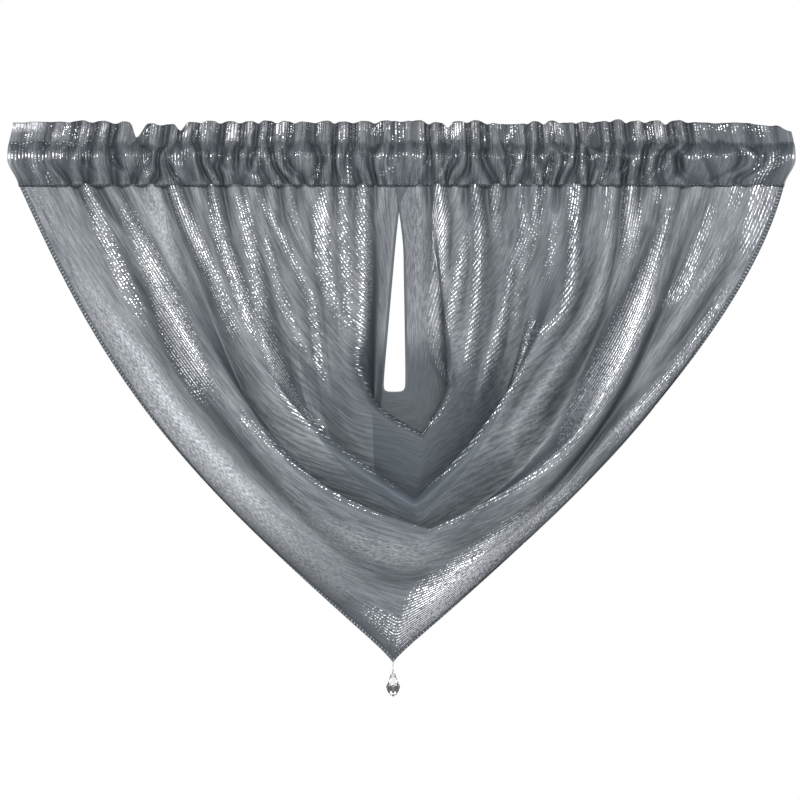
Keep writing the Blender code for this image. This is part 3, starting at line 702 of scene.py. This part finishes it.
def heading_grid(fineness=11, per_pleat=20):
    """The heading in metres, up the back and down the front.

    With it come its cloth coordinates, how far it stands out from its neighbours, which sets
    its painted valley shade, and its painted glint. The pleats sway and twist a little,
    seeded, and fade out at the ends.
    """
    height, depth, wave_share, rise = heading_profile(fineness)
    numbers = np.linspace(0.0, EDGE_NUMBER, EDGE_NUMBER * per_pleat + 1)
    signed = np.concatenate([-numbers[:0:-1], numbers])
    chance = np.random.default_rng(5)
    sway = chance.uniform(-0.5, 0.5, 2 * EDGE_NUMBER + 3)
    twist = chance.uniform(-0.5, 0.5, 2 * EDGE_NUMBER + 3)
    stations = np.arange(-EDGE_NUMBER - 1.0, EDGE_NUMBER + 2.0)
    ends = smooth_step((EDGE_NUMBER - np.abs(signed)) / 1.5)    # 0 at both ends
    level = height / SEAM_DROP
    wander = (smooth_through(stations, sway, signed) * level
              + smooth_through(stations, twist, signed) * np.cos(2.4 * level)) * ends
    moved = signed + wander
    fine = chance.uniform(-1.0, 1.0, 8 * EDGE_NUMBER + 9)
    finer = np.arange(-EDGE_NUMBER - 1.0, EDGE_NUMBER + 1.01, 0.25)
    wave = 0.85 * both_sides(pleat_wave, moved, 0.8)
    wave = wave + SMALL_GATHER * smooth_through(finer, fine, moved + 0.2 * level) * ends
    wave = wave - heading_creases(np.broadcast_to(signed, wave.shape), height)
    place = np.sign(signed) * both_sides(seam_column, signed, "place")
    crest = both_sides(frill_top, signed)
    # The seam hangs a little lower at its pleats, and the stitch row goes up and down.
    hang = np.clip(-height / SEAM_DROP, 0.0, 1.0) ** 4
    row = ROW_WAVER * smooth_through(finer, fine, signed) * np.exp(
        -((height - FRILL_ROOT) / 5.0) ** 2) * ends * (1.0 - rise)
    z = height + rise * (crest - FRILL_ROOT) - hang * (0.9 + 0.12 * wave) + row
    x = along_heading(place, z)
    lean = wave_share * wave
    front = np.stack([x, -(depth + lean), z], axis=-1)
    # The frill's back follows its front, and the pocket's follows less. Valleys count half.
    inward = np.clip(lean, None, 0.0) * 0.5 + np.clip(lean, 0.0, None)
    back = np.stack([x, depth - inward * np.where(rise > 0.0, 1.0, BACK_SHARE), z], axis=-1)
    points = np.concatenate([back[::-1], front], axis=0) * MM
    across = travelled(points[-1])
    across = across - across[len(numbers) - 1]
    down = travelled(points.transpose(1, 0, 2)).transpose(1, 0)
    out = np.concatenate([lean[::-1], lean], axis=0)
    fold = out - mean_over(out, 1, per_pleat // 2)
    glint = heading_glint(np.broadcast_to(signed, z.shape), z)
    glint = np.concatenate([0.5 * glint[::-1], glint], axis=0)
    return points, np.stack([np.broadcast_to(across, down.shape), down], axis=-1), fold, glint


def heading_creases(numbers, heights):
    """Depth of narrow curved creases, a few set near the ends and the rest seeded."""
    chance = np.random.default_rng(8)
    total = np.zeros(numbers.shape)
    creases = list(END_CREASES)
    for _ in range(84):
        side = chance.choice([-1.0, 1.0])
        creases.append(Crease(side * chance.uniform(0.2, 15.2), chance.uniform(-14.0, 18.0),
                              chance.uniform(5.0, 13.0), chance.uniform(0.8, 2.4),
                              chance.uniform(-0.045, 0.045), chance.uniform(-0.002, 0.002)))
    for crease in creases:
        up = heights - crease.height
        off = (numbers - crease.number - crease.slant * up - crease.bend * up ** 2) / 0.13
        total += crease.depth * 2.0 ** (-off ** 2) * 2.0 ** (-(up / crease.reach) ** 4)
    return total


def patch(numbers, heights, centre, level, wide, tall, slant):
    """A slanted patch: e to the minus fourth powers of its own width and height."""
    up = heights - level
    off = (numbers - centre - slant * up) / wide
    return np.exp(-off ** 4 - (up / tall) ** 4)


def heading_glint(numbers, heights, patches=190, streaks=27):
    """Painted glints of the heading: round its foremost height and in seeded slanted patches.

    The painted glint row at the foremost height wanders and fades in and out, and is widest at
    the left end. The frill has a few brighter painted streaks, and a painted soft sheen at the
    top of its left end.
    """
    chance = np.random.default_rng(31)
    flat_end = smooth_step((-numbers - 14.8) / 0.8)
    wander = np.sin(2.3 * numbers) + 0.9 * np.sin(5.9 * numbers + 1.0)
    wander = wander * (1.0 - flat_end)
    strength = 0.85 + 0.3 * np.sin(3.7 * numbers + 0.5) + 0.25 * np.sin(9.1 * numbers)
    strength = strength + (1.7 - strength) * flat_end
    shown = strength * np.exp(-((heights - 3.0 - wander) / (1.7 + 0.7 * flat_end)) ** 2)
    for _ in range(patches):
        made = patch(numbers, heights, centre=chance.uniform(-18.5, 18.5),
                     level=chance.choice([chance.uniform(17.0, 27.0),
                                          chance.uniform(17.0, 27.0),
                                          chance.uniform(-16.0, 10.0)]),
                     wide=chance.uniform(0.11, 0.24), tall=chance.uniform(2.5, 6.5),
                     slant=chance.uniform(-0.01, 0.07))
        shown = np.maximum(shown, chance.uniform(0.6, 1.2) * made)
    for _ in range(streaks):
        made = patch(numbers, heights, centre=chance.uniform(-15.5, 15.5),
                     level=chance.uniform(20.0, 26.0), slant=chance.uniform(0.015, 0.045),
                     wide=chance.uniform(0.10, 0.17), tall=chance.uniform(4.0, 6.5))
        shown = np.maximum(shown, 2.3 * made)
    # painted soft sheen at the top of the frill's left end
    painted_corner_sheen = smooth_step((heights - 19.0) / 5.0) * smooth_step((-numbers - 17.2) / 1.0)
    return np.where(painted_corner_sheen > 0.05, -2.4 * painted_corner_sheen, shown)


def mean_over(values, axis, reach):
    """Mean over a reach to each side along one axis."""
    size = values.shape[axis]
    near = np.clip(np.arange(size)[:, None] + np.arange(-reach, reach + 1), 0, size - 1)
    return np.take(values, near, axis=axis).mean(axis=axis + 1)


def grid_faces(rows, columns, wrapped=False, closed=False):
    """Squares of a grid, whose rows may wrap round, and whose last row may meet its first."""
    index = np.arange(rows * columns).reshape(rows, columns)
    if wrapped:
        index = np.concatenate([index, index[:, :1]], axis=1)
    if closed:
        index = np.concatenate([index, index[:1]], axis=0)
    return np.stack([index[:-1, :-1], index[1:, :-1], index[1:, 1:], index[:-1, 1:]],
                    axis=-1).reshape(-1, 4)


def cloth_values(points, fold, glint, openness, axis, reach, least=0.4):
    """Three values a point: light let through, 1 on ridges to 0 in valleys, which sets the
    valleys' painted shade, and painted glint.

    Light passes as a flat layer's share to the power of one over the cosine between the
    cloth and the front, so cloth that a fold turns edge on stops more. The cosine is at
    least so much, and the light is a mean over a reach along one axis.
    """
    across = np.gradient(points, axis=0)
    along = np.gradient(points, axis=1)
    facing = np.abs(unit(np.cross(along, across))[..., 1])
    light = mean_over(LAYER_LIGHT ** (1.0 / np.clip(facing, least, 1.0)), axis, reach)
    # Openness below 1 lowers the ridge value too, which deepens the painted shade.
    return {"opening": light * openness,
            "ridge": smooth_step(fold) * np.minimum(openness, 1.0), "glint": glint}


def window(values, start, end, soft):
    """1 between two values and 0 outside of them, smooth over a soft edge inside."""
    return smooth_step((values - start) / soft) * smooth_step((end - values) / soft)


def light_left_by_painted_shade(points, numbers):
    """Share of light left under painted shade, by line and by place from the front.

    The painted shade is deepest round the foot of the slit, then in the deep place under it,
    where it darkens to the right, then between the rims, and a little less low down and on the
    right.
    """
    across = points[..., 0] / MM - 2.0
    depth = -points[..., 2] / MM
    darkening = 0.4 + 0.35 * smooth_step(across / 30.0)
    deep = PaintedShade(darkening, (-1.0, 9.6, 1.0), (125.0, 500.0, 50.0), (-100.0, 100.0, 40.0))
    left = np.ones_like(across)
    for painted_shade in [deep, *PAINTED_SHADES]:
        left = left * (1.0 - painted_shade.loss * window(numbers[:, None], *painted_shade.lines)
                       * window(depth, *painted_shade.depth) * window(across, *painted_shade.across))
    return left


def panel_fold(points, numbers, reach):
    """How far the panel stands out from its mean over a reach, from 0 to about 1: it sets the
    painted shade of the valleys.

    Low down, the valleys behind the rims count as ridges, as they lie open there, so they get
    no painted shade.
    """
    out = -points[..., 1] / MM
    hollow = sum(np.exp(-((numbers - line) / spread) ** 2) for line, spread in HOLLOWS)
    sag = smooth_step((-points[..., 2] / MM - 150.0) / 60.0)
    stands = PANEL_LEVEL + (out - mean_over(out, 0, reach)) / FOLD_DEPTH
    return stands + hollow[:, None] * sag


def heading_openness(points):
    """How open the heading is: most in the frill and by the seam, less at the right end."""
    level = points[..., 2] / MM
    open_to = (2.1 + smooth_step((level - 4.0) / 16.0)
               + 1.3 * smooth_step((-13.5 - level) / 3.0))
    return open_to * (1.0 - 0.3 * smooth_step((points[..., 0] / MM - 180.0) / 40.0))


def linked(name, data):
    """A new object in the scene."""
    made = bpy.data.objects.new(name, data)
    bpy.context.scene.collection.objects.link(made)
    return made


def new_mesh(name, points, faces, look):
    mesh = bpy.data.meshes.new(name)
    mesh.from_pydata(points.reshape(-1, 3).tolist(), [], faces.tolist())
    mesh.materials.append(look)
    return mesh


def new_piece(name, points, faces, look, weave=None, values=None):
    """A mesh piece from whole arrays, riding on the one body."""
    mesh = new_mesh(name, points, faces, look)
    if weave is not None:
        cloth = mesh.uv_layers.new(name="weave")
        corners = np.zeros(len(mesh.loops), dtype=np.int32)
        mesh.loops.foreach_get("vertex_index", corners)
        flat = weave.reshape(-1, 2)[corners]
        cloth.uv.foreach_set("vector", flat.astype(np.float32).ravel())
        for key, array in values.items():
            data = mesh.attributes.new(key, "FLOAT", "POINT").data
            data.foreach_set("value", array.astype(np.float32).ravel())
    mesh.shade_smooth()
    made = linked(name, mesh)
    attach(made, "root")
    return made


def edge_frames(edge, inner):
    """Along an edge: directions into the cloth and out of its front face."""
    ahead = unit(np.gradient(edge, axis=0))
    into = inner - edge
    into = unit(into - np.sum(into * ahead, axis=1, keepdims=True) * ahead)
    face = unit(np.cross(ahead, into))
    return into, face * np.sign(1e-9 - face[:, 1:2])


def rolled_hem(edge, inner, width, gap=0.00028):
    """A band folded round an edge: a flat U carried along it, front over edge to back."""
    into, face = edge_frames(edge, inner)
    turns = np.array([1.0, 0.66, 0.33, 0.05, -0.05, 0.05, 0.33, 0.66, 1.0])
    sides = np.array([1.0, 1.15, 1.15, 0.9, 0.0, -0.9, -1.15, -1.15, -1.0])
    points = (edge[None] + width * turns[:, None, None] * into[None]
              + gap * sides[:, None, None] * face[None])
    down = np.cumsum(np.concatenate([[0.0], np.abs(np.diff(turns))])) * width
    weave = np.stack([np.broadcast_to(down[:, None], points.shape[:2]),
                      np.broadcast_to(travelled(edge), points.shape[:2])], axis=-1)
    return points, weave


def along_path(path, values, places):
    """Columns of values that belong to a path, at distances along it."""
    travel = travelled(path)
    return np.stack([np.interp(places, travel, column) for column in values.T], axis=-1)


def threads(paths, facing, thickness, sides=4):
    """Short threads, one a row of points: a small ring carried along each, ends drawn in."""
    ahead = unit(np.gradient(paths, axis=1))
    beside = unit(np.cross(ahead, facing))
    above = np.cross(beside, ahead)
    steps = paths.shape[1]
    taper = np.ones(steps)
    taper[[0, -1]] = 0.45
    turns = 2.0 * math.pi * np.arange(sides) / sides
    ring = (np.cos(turns)[:, None] * beside[:, :, None] + np.sin(turns)[:, None]
            * above[:, :, None])
    points = paths[:, :, None] + ring * (thickness / 2) * taper[None, :, None, None]
    single = np.concatenate([
        grid_faces(steps, sides, wrapped=True),
        np.arange(sides)[None], (steps - 1) * sides + np.arange(sides)[None, ::-1]])
    shift = np.arange(len(paths)) * steps * sides
    return points, (single[None] + shift[:, None, None]).reshape(-1, 4)


class Socket:
    """A shader output that takes part in sums as a number does."""

    def __init__(self, web, link):
        self.web = web
        self.link = link

    def __add__(self, other):
        return self.web.maths("ADD", self, other)

    def __sub__(self, other):
        return self.web.maths("SUBTRACT", self, other)

    def __rsub__(self, other):
        return self.web.maths("SUBTRACT", other, self)

    def __mul__(self, other):
        return self.web.maths("MULTIPLY", self, other)

    def __truediv__(self, other):
        return self.web.maths("DIVIDE", self, other)

    __radd__ = __add__
    __rmul__ = __mul__


class Web:
    """The node tree of a new material or world."""

    def __init__(self, owner):
        self.owner = owner
        owner.use_nodes = True
        self.tree = owner.node_tree
        self.tree.nodes.clear()

    def node(self, kind, settings=None, sockets=None, output=0):
        """Any node: its settings first, then the values or links of its sockets."""
        made = self.tree.nodes.new(kind)
        for key, value in (settings or {}).items():
            setattr(made, key, value)
        for key, value in (sockets or {}).items():
            if isinstance(value, Socket):
                self.tree.links.new(value.link, made.inputs[key])
            else:
                made.inputs[key].default_value = value
        return Socket(self, made.outputs[output] if len(made.outputs) else None)

    def maths(self, operation, *values):
        return self.node("ShaderNodeMath", {"operation": operation}, dict(enumerate(values)))

    def step(self, value, low, high):
        """0 below low, 1 above high and smooth between."""
        return self.node("ShaderNodeMapRange", {"interpolation_type": "SMOOTHSTEP"},
                         {0: value, 1: low, 2: high, 3: 0.0, 4: 1.0})

    def mix(self, share_of_second, first, second):
        return self.node("ShaderNodeMix", {"data_type": "RGBA"},
                         {0: share_of_second, 6: first, 7: second}, 2)

    def noise(self, across, along, detail=1.0, roughness=0.5):
        """Noise over two numbers."""
        place = self.node("ShaderNodeCombineXYZ", None, {0: across, 1: along})
        return self.node("ShaderNodeTexNoise", {"noise_dimensions": "2D"},
                         {"Vector": place, "Scale": 1.0, "Detail": detail,
                          "Roughness": roughness})

    def grain(self, scale, detail=1.0):
        """Noise over Object coordinates."""
        place = self.node("ShaderNodeTexCoord", None, None, 3)
        return self.node("ShaderNodeTexNoise", None,
                         {"Vector": place, "Scale": scale, "Detail": detail})

    def carried(self, name):
        """A number that the mesh carries at each point."""
        return self.node("ShaderNodeAttribute", {"attribute_name": name}, None, 2)

    def bump(self, strength, distance, height):
        return self.node("ShaderNodeBump", None,
                         {"Strength": strength, "Distance": distance, "Height": height})

    def finish(self, sockets):
        shader = self.node("ShaderNodeBsdfPrincipled", None, sockets)
        self.node("ShaderNodeOutputMaterial", None, {"Surface": shader})
        return self.owner


def opaque(tint, brightness=1.0):
    return (*[part * brightness for part in tint], 1.0)


def voile(name, cloth, cover, shine=1.0):
    """Sheer cloth: open plain yarn, with metal yarns along it that float in short dashes.

    The metal yarns show only at the painted glint: a dash shows where its noise plus some of
    the glint passes a level, so the yarn's own glitter is placed as a painted highlight. Below
    0 the glint is a painted even sheen. Valleys get painted shade, a darker colour and less
    light through, and more light passes round the glints, a painted glow.
    """
    web = Web(bpy.data.materials.new(name))
    place = web.node("ShaderNodeUVMap", {"uv_map": "weave"})
    across = web.node("ShaderNodeSeparateXYZ", None, {0: place})
    along = Socket(web, across.link.node.outputs[1])
    slow = web.noise(across * 28.0, along * 9.0, 2.0)
    bent = across + (slow - 0.5) * (YARN_BEND * MM)
    strand = bent / cloth.pitch
    own = web.maths("FLOOR", strand)
    offset = web.maths("ABSOLUTE", web.maths("FRACT", strand) - 0.5)
    round_yarn = web.step(offset, 0.23, 0.09)
    dash = web.noise(own * 5.37, along / cloth.dash, 0.0)
    speck = web.noise(across * 1250.0, along * 330.0)
    # painted glint: where the metal yarn shows as a painted highlight, and below 0 a painted
    # sheen
    glint = web.carried("glint")
    floats = web.step(dash + glint * 0.28, 0.72, 0.80)
    metal = round_yarn * floats * web.step(glint, 0.10, 0.45)
    grain = web.step(speck, 0.35, 0.75)
    # painted even sheen where the glint is below 0
    sheen = web.maths("MAXIMUM", glint * -1.0, 0.0) * (0.04 + grain * 0.30)
    crumple = web.noise(across * 640.0, along * 52.0, 3.0, 0.65)
    swell = web.noise(across * 150.0, along * 40.0)
    normal = web.bump(cloth.crumple, 0.001, crumple * 0.09 + swell * 0.12 + metal * 0.22)
    # the metal yarn at the painted glints plus the painted sheen: bright colour and metal
    painted_shine = web.maths("MINIMUM", metal + sheen, 1.0)
    shade = web.step(crumple, 0.34, 0.66)
    plain = web.mix(shade, opaque(cloth.yarn, 0.78), opaque(cloth.yarn, 1.12))
    tone = web.mix(painted_shine, plain, opaque(cloth.glitter))
    # painted shade: valleys and the panel's painted shade zones darken towards black
    ridge = web.carried("ridge")
    tone = web.mix(ridge, web.mix(0.4, tone, (0.0, 0.0, 0.0, 1.0)), tone)
    light_through_with_painted_light = web.carried("opening") * ((1.0 - cover) / LAYER_LIGHT)
    light_through_with_painted_light = light_through_with_painted_light * (0.5 + shade) * (0.8 + grain * 0.4)
    # painted shade: less light through in valleys; painted glow: more light through round the
    # glints
    light_through_with_painted_light = light_through_with_painted_light * (0.2 + ridge * 0.8) * (1.0 + 0.5 * web.step(glint, 0.3, 1.3))
    alpha = 1.0 - light_through_with_painted_light * (1.0 - metal * 0.25)
    return web.finish({
        "Base Color": tone, "Metallic": 0.08 + painted_shine * (0.87 * shine),
        "Roughness": 0.52 - metal * 0.22, "Specular IOR Level": 0.2, "Alpha": alpha,
        "Normal": normal})


def thread_look(name, tint, roughness, metallic):
    """Twisted thread: its plies are a fine noise over Object coordinates."""
    web = Web(bpy.data.materials.new(name))
    twist = web.grain(900.0)
    tone = web.mix(web.step(twist, 0.35, 0.65), opaque(tint, 0.35), opaque(tint))
    return web.finish({"Base Color": tone, "Roughness": roughness, "Metallic": metallic,
                       "Normal": web.bump(0.4, 0.0002, twist)})


def glass_look(name, tint, roughness):
    """Clear cut glass with the faintest unevenness in its polish."""
    web = Web(bpy.data.materials.new(name))
    return web.finish({"Base Color": opaque(tint), "IOR": 1.56, "Transmission Weight": 1.0,
                       "Roughness": roughness + web.grain(350.0) * 0.03})


def glitter_voile(cloth):
    """The one material of the panel and the heading."""
    name = "glitter voile"
    return bpy.data.materials.get(name) or voile(name, cloth, cloth.cover)


class SWAG_OT_panel(bpy.types.Operator):
    """Add the draped voile panel"""
    bl_idname = "swag.panel"
    bl_label = "Draped panel"

    def execute(self, context):
        cloth = context.scene.swag_voile
        numbers = np.linspace(0.0, EDGE_NUMBER, EDGE_NUMBER * cloth.lines + 1)
        points, weave, glint = drape(numbers, cloth.steps)
        fold = panel_fold(points, numbers, cloth.lines * 2 // 3)
        values = cloth_values(points, fold, glint, light_left_by_painted_shade(points, numbers), 0, 2)
        panel = new_piece("voile_panel", points, grid_faces(*points.shape[:2]),
                          glitter_voile(cloth), weave, values)
        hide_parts("panel")
        return {"FINISHED"}


class SWAG_OT_heading(bpy.types.Operator):
    """Add the gathered heading: seam, rod pocket and frill"""
    bl_idname = "swag.heading"
    bl_label = "Gathered heading"

    def execute(self, context):
        points, weave, fold, glint = heading_grid()
        values = cloth_values(points, HEADING_LEVEL + fold / FOLD_DEPTH, glint,
                              heading_openness(points), 1, 9, 0.8)
        heading = new_piece("voile_heading", points, grid_faces(*points.shape[:2]),
                            glitter_voile(context.scene.swag_voile), weave, values)
        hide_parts("heading")
        return {"FINISHED"}


class SWAG_OT_hems(bpy.types.Operator):
    """Add the rolled hems of the free edge and the slit"""
    bl_idname = "swag.hems"
    bl_label = "Rolled hems"

    def execute(self, context):
        sewing = context.scene.swag_hems
        cloth = context.scene.swag_voile
        look = voile("hemmed voile", cloth, 0.86, 0.6)
        rows = np.array([0.0, HEM_ROW, EDGE_NUMBER - HEM_ROW, EDGE_NUMBER])
        points, _, _ = drape(rows, cloth.steps)
        for name, edge, inner, width in (
                ("edge_hem", points[3], points[2], sewing.hem),
                ("neck_hem", points[0], points[1], sewing.neck_hem)):
            band, weave = rolled_hem(edge, inner, width)
            even = np.ones(band.shape[:2])
            values = {"opening": 0.16 * even, "ridge": even, "glint": 0.0 * even}
            new_piece(name, band, grid_faces(*band.shape[:2]), look, weave, values)
        return {"FINISHED"}


class SWAG_OT_stitches(bpy.types.Operator):
    """Add the overlock stitches of the free edge and the two stitch rows of the heading"""
    bl_idname = "swag.stitches"
    bl_label = "Stitches"

    def execute(self, context):
        sewing = context.scene.swag_hems
        bright = thread_look("sewing thread", sewing.tint, 0.35, 0.3)
        # painted shade: the frill and seam rows use a darker copy of the same thread, a fifth
        # of its colour, where it does not catch the light
        shaded_thread = thread_look("seam thread", [part * 0.2 for part in sewing.tint], 0.5, 0.0)
        rows = np.array([EDGE_NUMBER - HEM_ROW, EDGE_NUMBER])
        (inner, edge), _, _ = drape(rows, context.scene.swag_voile.steps)
        into, face = edge_frames(edge, inner)
        ends = UNSEWN * MM
        places = np.arange(ends, travelled(edge)[-1] - ends, sewing.edge_pitch)
        slant, turns, sides = np.array(OVERLOCK).T[:, :, None]
        where = places[:, None] + slant[:, 0] * sewing.edge_pitch * OVERLOCK_SLANT
        paths = (along_path(edge, edge, where)
                 + turns * sewing.hem * along_path(edge, into, where)
                 + sides * MM * along_path(edge, face, where))
        facing = along_path(edge, unit(np.gradient(edge, axis=0)), where)
        over, faces = threads(paths, facing, sewing.thread)
        new_piece("edge_stitches", over, faces, bright)
        heading, _, _, _ = heading_grid()
        down = len(heading) // 2
        heights = heading[down:, heading.shape[1] // 2, 2] / MM
        for row in ROWS:
            level = down + int(np.argmin(np.abs(heights - row.height)))
            line = heading[level] + np.array([0.0, -0.25, 0.0]) * MM
            starts = np.arange(0.001, travelled(line)[-1] - ends, sewing.row_pitch)
            there = along_path(line, line, starts)[:, 0] / MM
            starts = starts[(there > row.first) & (there < row.last)]
            where = starts[:, None] + np.linspace(0.0, sewing.row_stitch, 4)[None, :]
            paths = along_path(line, line, where)
            facing = np.broadcast_to([0.0, -1.0, 0.0], paths.shape)
            made, faces = threads(paths, facing, sewing.thread)
            new_piece(row.name, made, faces, bright if row.bright else shaded_thread)
        return {"FINISHED"}


class SWAG_OT_drop(bpy.types.Operator):
    """Finish the glass drop and add the clear thread that it hangs on"""
    bl_idname = "swag.drop"
    bl_label = "Glass drop"

    def execute(self, context):
        glass = glass_look("cut glass", (0.97, 0.96, 0.97), 0.0)
        drop = next(o for o in bpy.data.objects if o.name.startswith("bead_drop"))
        for slot in drop.material_slots:
            slot.material = glass
        low, high = (np.array(corner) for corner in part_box("bead_thread"))
        centre = (low + high) / 2
        turns = np.linspace(0.0, 2.0 * math.pi, 96, endpoint=False)
        rise = ((1.0 + np.cos(turns)) / 2.0) ** 2.2
        radius = 0.00022
        path = np.stack([np.full_like(turns, centre[0]),
                         centre[1] + (high - low)[1] / 2 * 0.9 * np.sin(turns),
                         low[2] + radius + (high[2] - low[2] - 2 * radius) * rise], axis=-1)
        ahead = unit(np.roll(path, -1, axis=0) - np.roll(path, 1, axis=0))
        beside = np.array([1.0, 0.0, 0.0])
        above = np.cross(ahead, beside)
        spin = np.linspace(0.0, 2.0 * math.pi, 10, endpoint=False)
        ring = (path[:, None] + radius * (np.cos(spin)[None, :, None] * above[:, None]
                                          + np.sin(spin)[None, :, None] * beside))
        faces = grid_faces(len(path), len(spin), wrapped=True, closed=True)
        thread = new_piece("clear_loop", ring, faces,
                           glass_look("clear thread", (0.93, 0.93, 0.94), 0.12))
        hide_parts("bead_thread")
        return {"FINISHED"}


class SWAG_OT_sheets(bpy.types.Operator):
    """Does nothing; the cut sizes of the cloths are not given"""
    bl_idname = "swag.sheets"
    bl_label = "Cut sizes"

    def execute(self, context):
        return {"FINISHED"}


class SWAG_OT_stage(bpy.types.Operator):
    """Add the camera, the soft lights, the pale room and the floor"""
    bl_idname = "swag.stage"
    bl_label = "Stage"

    def execute(self, context):
        stage = context.scene.swag_stage
        eye = bpy.data.cameras.new("camera")
        eye.sensor_width = 36.0
        eye.lens = eye.sensor_width * stage.distance / stage.view_width
        eye.clip_end = 100.0
        camera = linked("camera", eye)
        camera.location = (SEEN_AT[0], -stage.distance, SEEN_AT[1])
        camera.rotation_euler = (math.pi / 2, 0.0, 0.0)
        context.scene.camera = camera
        for lamp in LAMPS:
            self.soft_light(lamp, stage.key)
        web = Web(bpy.data.worlds.new("pale room"))
        seen = web.node("ShaderNodeLightPath")      # 1 where the camera sees the room
        strength = web.maths("MULTIPLY_ADD", seen, 1.0 - stage.fill, stage.fill)
        glow = web.node("ShaderNodeBackground", None,
                        {"Color": (1.0, 1.0, 1.0, 1.0), "Strength": strength})
        web.node("ShaderNodeOutputWorld", None, {"Surface": glow})
        context.scene.world = web.owner
        context.scene.view_settings.view_transform = "Standard"
        self.floor(stage)
        return {"FINISHED"}

    def soft_light(self, lamp, key):
        """A lamp that looks at the middle of the swag."""
        data = bpy.data.lights.new(lamp.name, "AREA")
        data.shape = "RECTANGLE"
        data.size, data.size_y = lamp.size
        data.energy = key * lamp.power
        light = linked(lamp.name, data)
        aim = np.array(LIT_AT) - np.array(lamp.place)
        light.location = lamp.place
        light.rotation_euler = (math.acos(-aim[2] / np.linalg.norm(aim)), 0.0,
                                math.atan2(aim[1], aim[0]) - math.pi / 2)

    def floor(self, stage):
        """A round floor: rings of growing radius about the middle, far below the drop."""
        turns = np.linspace(0.0, 2.0 * math.pi, 96, endpoint=False)
        radii = np.array([0.02, 3.0, 6.0, 9.0, 12.0])
        rings = np.stack([radii[:, None] * np.cos(turns), radii[:, None] * np.sin(turns),
                          np.full((len(radii), len(turns)), FLOOR_HEIGHT)], axis=-1)
        faces = grid_faces(len(radii), len(turns), wrapped=True)
        web = Web(bpy.data.materials.new("pale floor"))
        tone = web.mix(web.grain(3.0, 2.0), opaque(stage.floor), opaque(stage.floor, 0.98))
        look = web.finish({"Base Color": tone, "Roughness": 0.8,
                           "Emission Color": (1.0, 1.0, 1.0, 1.0),
                           "Emission Strength": 0.4})
        ground = linked("floor", new_mesh("floor", rings, faces, look))


class SWAG_PT_sidebar(bpy.types.Panel):
    """Lists the swag's pieces and their sizes"""
    bl_idname = "SWAG_PT_sidebar"
    bl_label = "Sheer swag"
    bl_space_type = "VIEW_3D"
    bl_region_type = "UI"
    bl_category = "Swag"

    def draw(self, context):
        for made in OPERATORS:
            self.layout.operator(made.bl_idname)
        for group in (context.scene.swag_voile, context.scene.swag_hems,
                      context.scene.swag_stage):
            box = self.layout.box()
            for name in group.__annotations__:
                box.prop(group, name)


OPERATORS = (SWAG_OT_panel, SWAG_OT_heading, SWAG_OT_hems, SWAG_OT_stitches, SWAG_OT_drop,
             SWAG_OT_sheets, SWAG_OT_stage)
GROUPS = {"swag_voile": SwagVoile, "swag_hems": SwagHems, "swag_stage": SwagStage}


def register():
    for made in (*GROUPS.values(), *OPERATORS, SWAG_PT_sidebar):
        bpy.utils.register_class(made)
    for name, group in GROUPS.items():
        setattr(bpy.types.Scene, name, bpy.props.PointerProperty(type=group))


def unregister():
    for name in GROUPS:
        delattr(bpy.types.Scene, name)
    for made in reversed((*GROUPS.values(), *OPERATORS, SWAG_PT_sidebar)):
        bpy.utils.unregister_class(made)


def main():
    register()
    bpy.ops.swag.panel()
    bpy.ops.swag.heading()
    bpy.ops.swag.hems()
    bpy.ops.swag.stitches()
    bpy.ops.swag.drop()
    bpy.ops.swag.sheets()
    bpy.ops.swag.stage()


if __name__ == "__main__":
    main()
